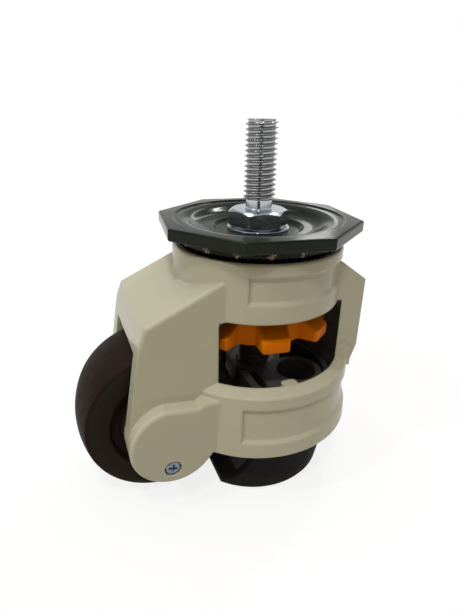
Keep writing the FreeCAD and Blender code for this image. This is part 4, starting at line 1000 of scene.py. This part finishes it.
def stage_sheet(name, corners, material):
    """One flat face that belongs to the room."""
    mesh = bpy.data.meshes.new(name)
    mesh.from_pydata(corners, [], [(0, 1, 2, 3)])
    mesh.materials.append(material)
    sheet = bpy.data.objects.new(name, mesh)
    SCENE.collection.objects.link(sheet)
    return sheet


def make_floor():
    """A pale floor that is white to the camera and keeps a faint shadow of the castor."""
    finish = Finish("pale_floor", FLOOR_BOUNCE, 0.95, Specular_IOR_Level=0.0, Emission_Color=WHITE)
    share = seen_share(finish.tree)
    finish.color_layer(share, FLOOR_SEEN)
    away = finish.node("ShaderNodeVectorMath", {0: finish.place}, operation="LENGTH")
    glow = finish.ramp(away.outputs["Value"], *GLOW_REACH, *GLOW_LEVEL)
    level = finish.math("MULTIPLY", share, glow)
    finish.tree.links.new(level, finish.shader.inputs["Emission Strength"])
    reach = FLOOR_REACH
    corners = [(-reach, -reach, 0), (reach, -reach, 0), (reach, reach, 0), (-reach, reach, 0)]
    floor = stage_sheet("floor", corners, finish.material)
    floor.location = (0, 0, FLOOR * MM - FLOOR_GAP)


def make_world():
    """White to the camera; in reflections white to just above the horizon and dim overhead."""
    world = bpy.data.worlds.new("soft_room")
    SCENE.world = world
    world.use_nodes = True
    tree = world.node_tree
    back = tree.nodes["Background"]
    place = tree.nodes.new("ShaderNodeTexCoord")
    split = add_node(tree, "ShaderNodeSeparateXYZ", {0: place.outputs["Generated"]})
    up = split.outputs["Z"]
    fall = add_ramp(tree, up, *HORIZON_FALL, 1.0, OVERHEAD)
    zenith = add_ramp(tree, up, *ZENITH_RISE, 0.0, ZENITH_LIFT)
    seen = add_math(tree, "ADD", fall, zenith)
    path = tree.nodes.new("ShaderNodeLightPath")
    shown = add_math(tree, "MAXIMUM", seen, path.outputs["Is Camera Ray"])
    share = seen_share(tree)
    level = add_node(tree, "ShaderNodeMix", {"Factor": share, "A": AMBIENT, "B": shown})
    tree.links.new(level.outputs["Result"], back.inputs["Strength"])
    tint = add_node(tree, "ShaderNodeMix", {"Factor": share, "A": AMBIENT_TINT, "B": WHITE},
                    data_type="RGBA")
    tree.links.new(tint.outputs["Result"], back.inputs["Color"])


def make_dark_card():
    """A dark card behind the camera that only polished metal mirrors."""
    finish = Finish("dark_card", (0.02, 0.02, 0.02), 0.5, Specular_IOR_Level=0.0)
    turn = Matrix.Rotation(math.radians(CARD_TURN), 4, "Z")
    corners = [(-CARD_HALF, -CARD_AWAY, CARD_LOW), (CARD_HALF, -CARD_AWAY, CARD_LOW),
               (CARD_HALF, -CARD_AWAY, CARD_HIGH), (-CARD_HALF, -CARD_AWAY, CARD_HIGH)]
    card = stage_sheet("dark_card", [turn @ Vector(corner) for corner in corners],
                       finish.material)
    card.visible_camera = False
    card.visible_diffuse = False
    card.visible_shadow = False


def make_room():
    make_floor()
    make_world()
    make_dark_card()
    for lamp in LAMPS:
        make_lamp(*lamp)


def build():
    zinc = zinc_plate("bright_zinc", (0.38, 0.385, 0.385), 0.25, 0.32)
    # painted reflection: the hexagon, its neck and the washer get a paler, bluer copy of the
    # stem's zinc, standing in for the bright sky they mirror
    lit_zinc = zinc_plate("hexagon_painted_sheen_zinc", (0.54, 0.58, 0.62), 0.16, 0.22)
    bluish = zinc_plate("bluish_zinc", (0.19, 0.24, 0.3), 0.24, 0.36)
    satin = zinc_plate("satin_zinc", (0.35, 0.35, 0.34), 0.3, 0.45)
    oxide = black_oxide()
    set_finish(["housing"], ivory_paint())
    set_finish(["top_plate"], green_lacquer())
    set_finish(["stem_washer"], lit_zinc)
    set_finish(["clamp_cup", "clamp_nut", "thrust_plate", "journal_clip", "foot_nut"], oxide)
    set_finish(["upper_race", "lower_balls", "axle", "bearing_spacer", "inner_ring_left",
                "inner_ring_right", "outer_ring_left", "outer_ring_right", "bearing_balls_left",
                "bearing_balls_right", "bearing_shield_left", "bearing_shield_right",
                "axle_collar_left", "axle_collar_right", "drive_pin"], ground_steel())
    set_finish(["axle_keeper_left", "axle_keeper_right"], satin)
    set_finish(["journal_bush", "thrust_washer"], sintered_bronze())
    set_finish(["foot_carrier"], black_moulding())
    set_finish(["foot_pad"], foot_rubber())
    thread = screw_thread()
    make_stem(thread, zinc, lit_zinc)
    make_adjuster(thread, oxide)
    make_balls(ball_ring(), greasy_steel())
    make_grease(race_grease())
    make_thumbwheel(orange_moulding())
    make_wheel(wheel_nylon())
    make_screws(bluish)


SCENE.view_settings.view_transform = "Standard"
make_camera()
make_room()
build()
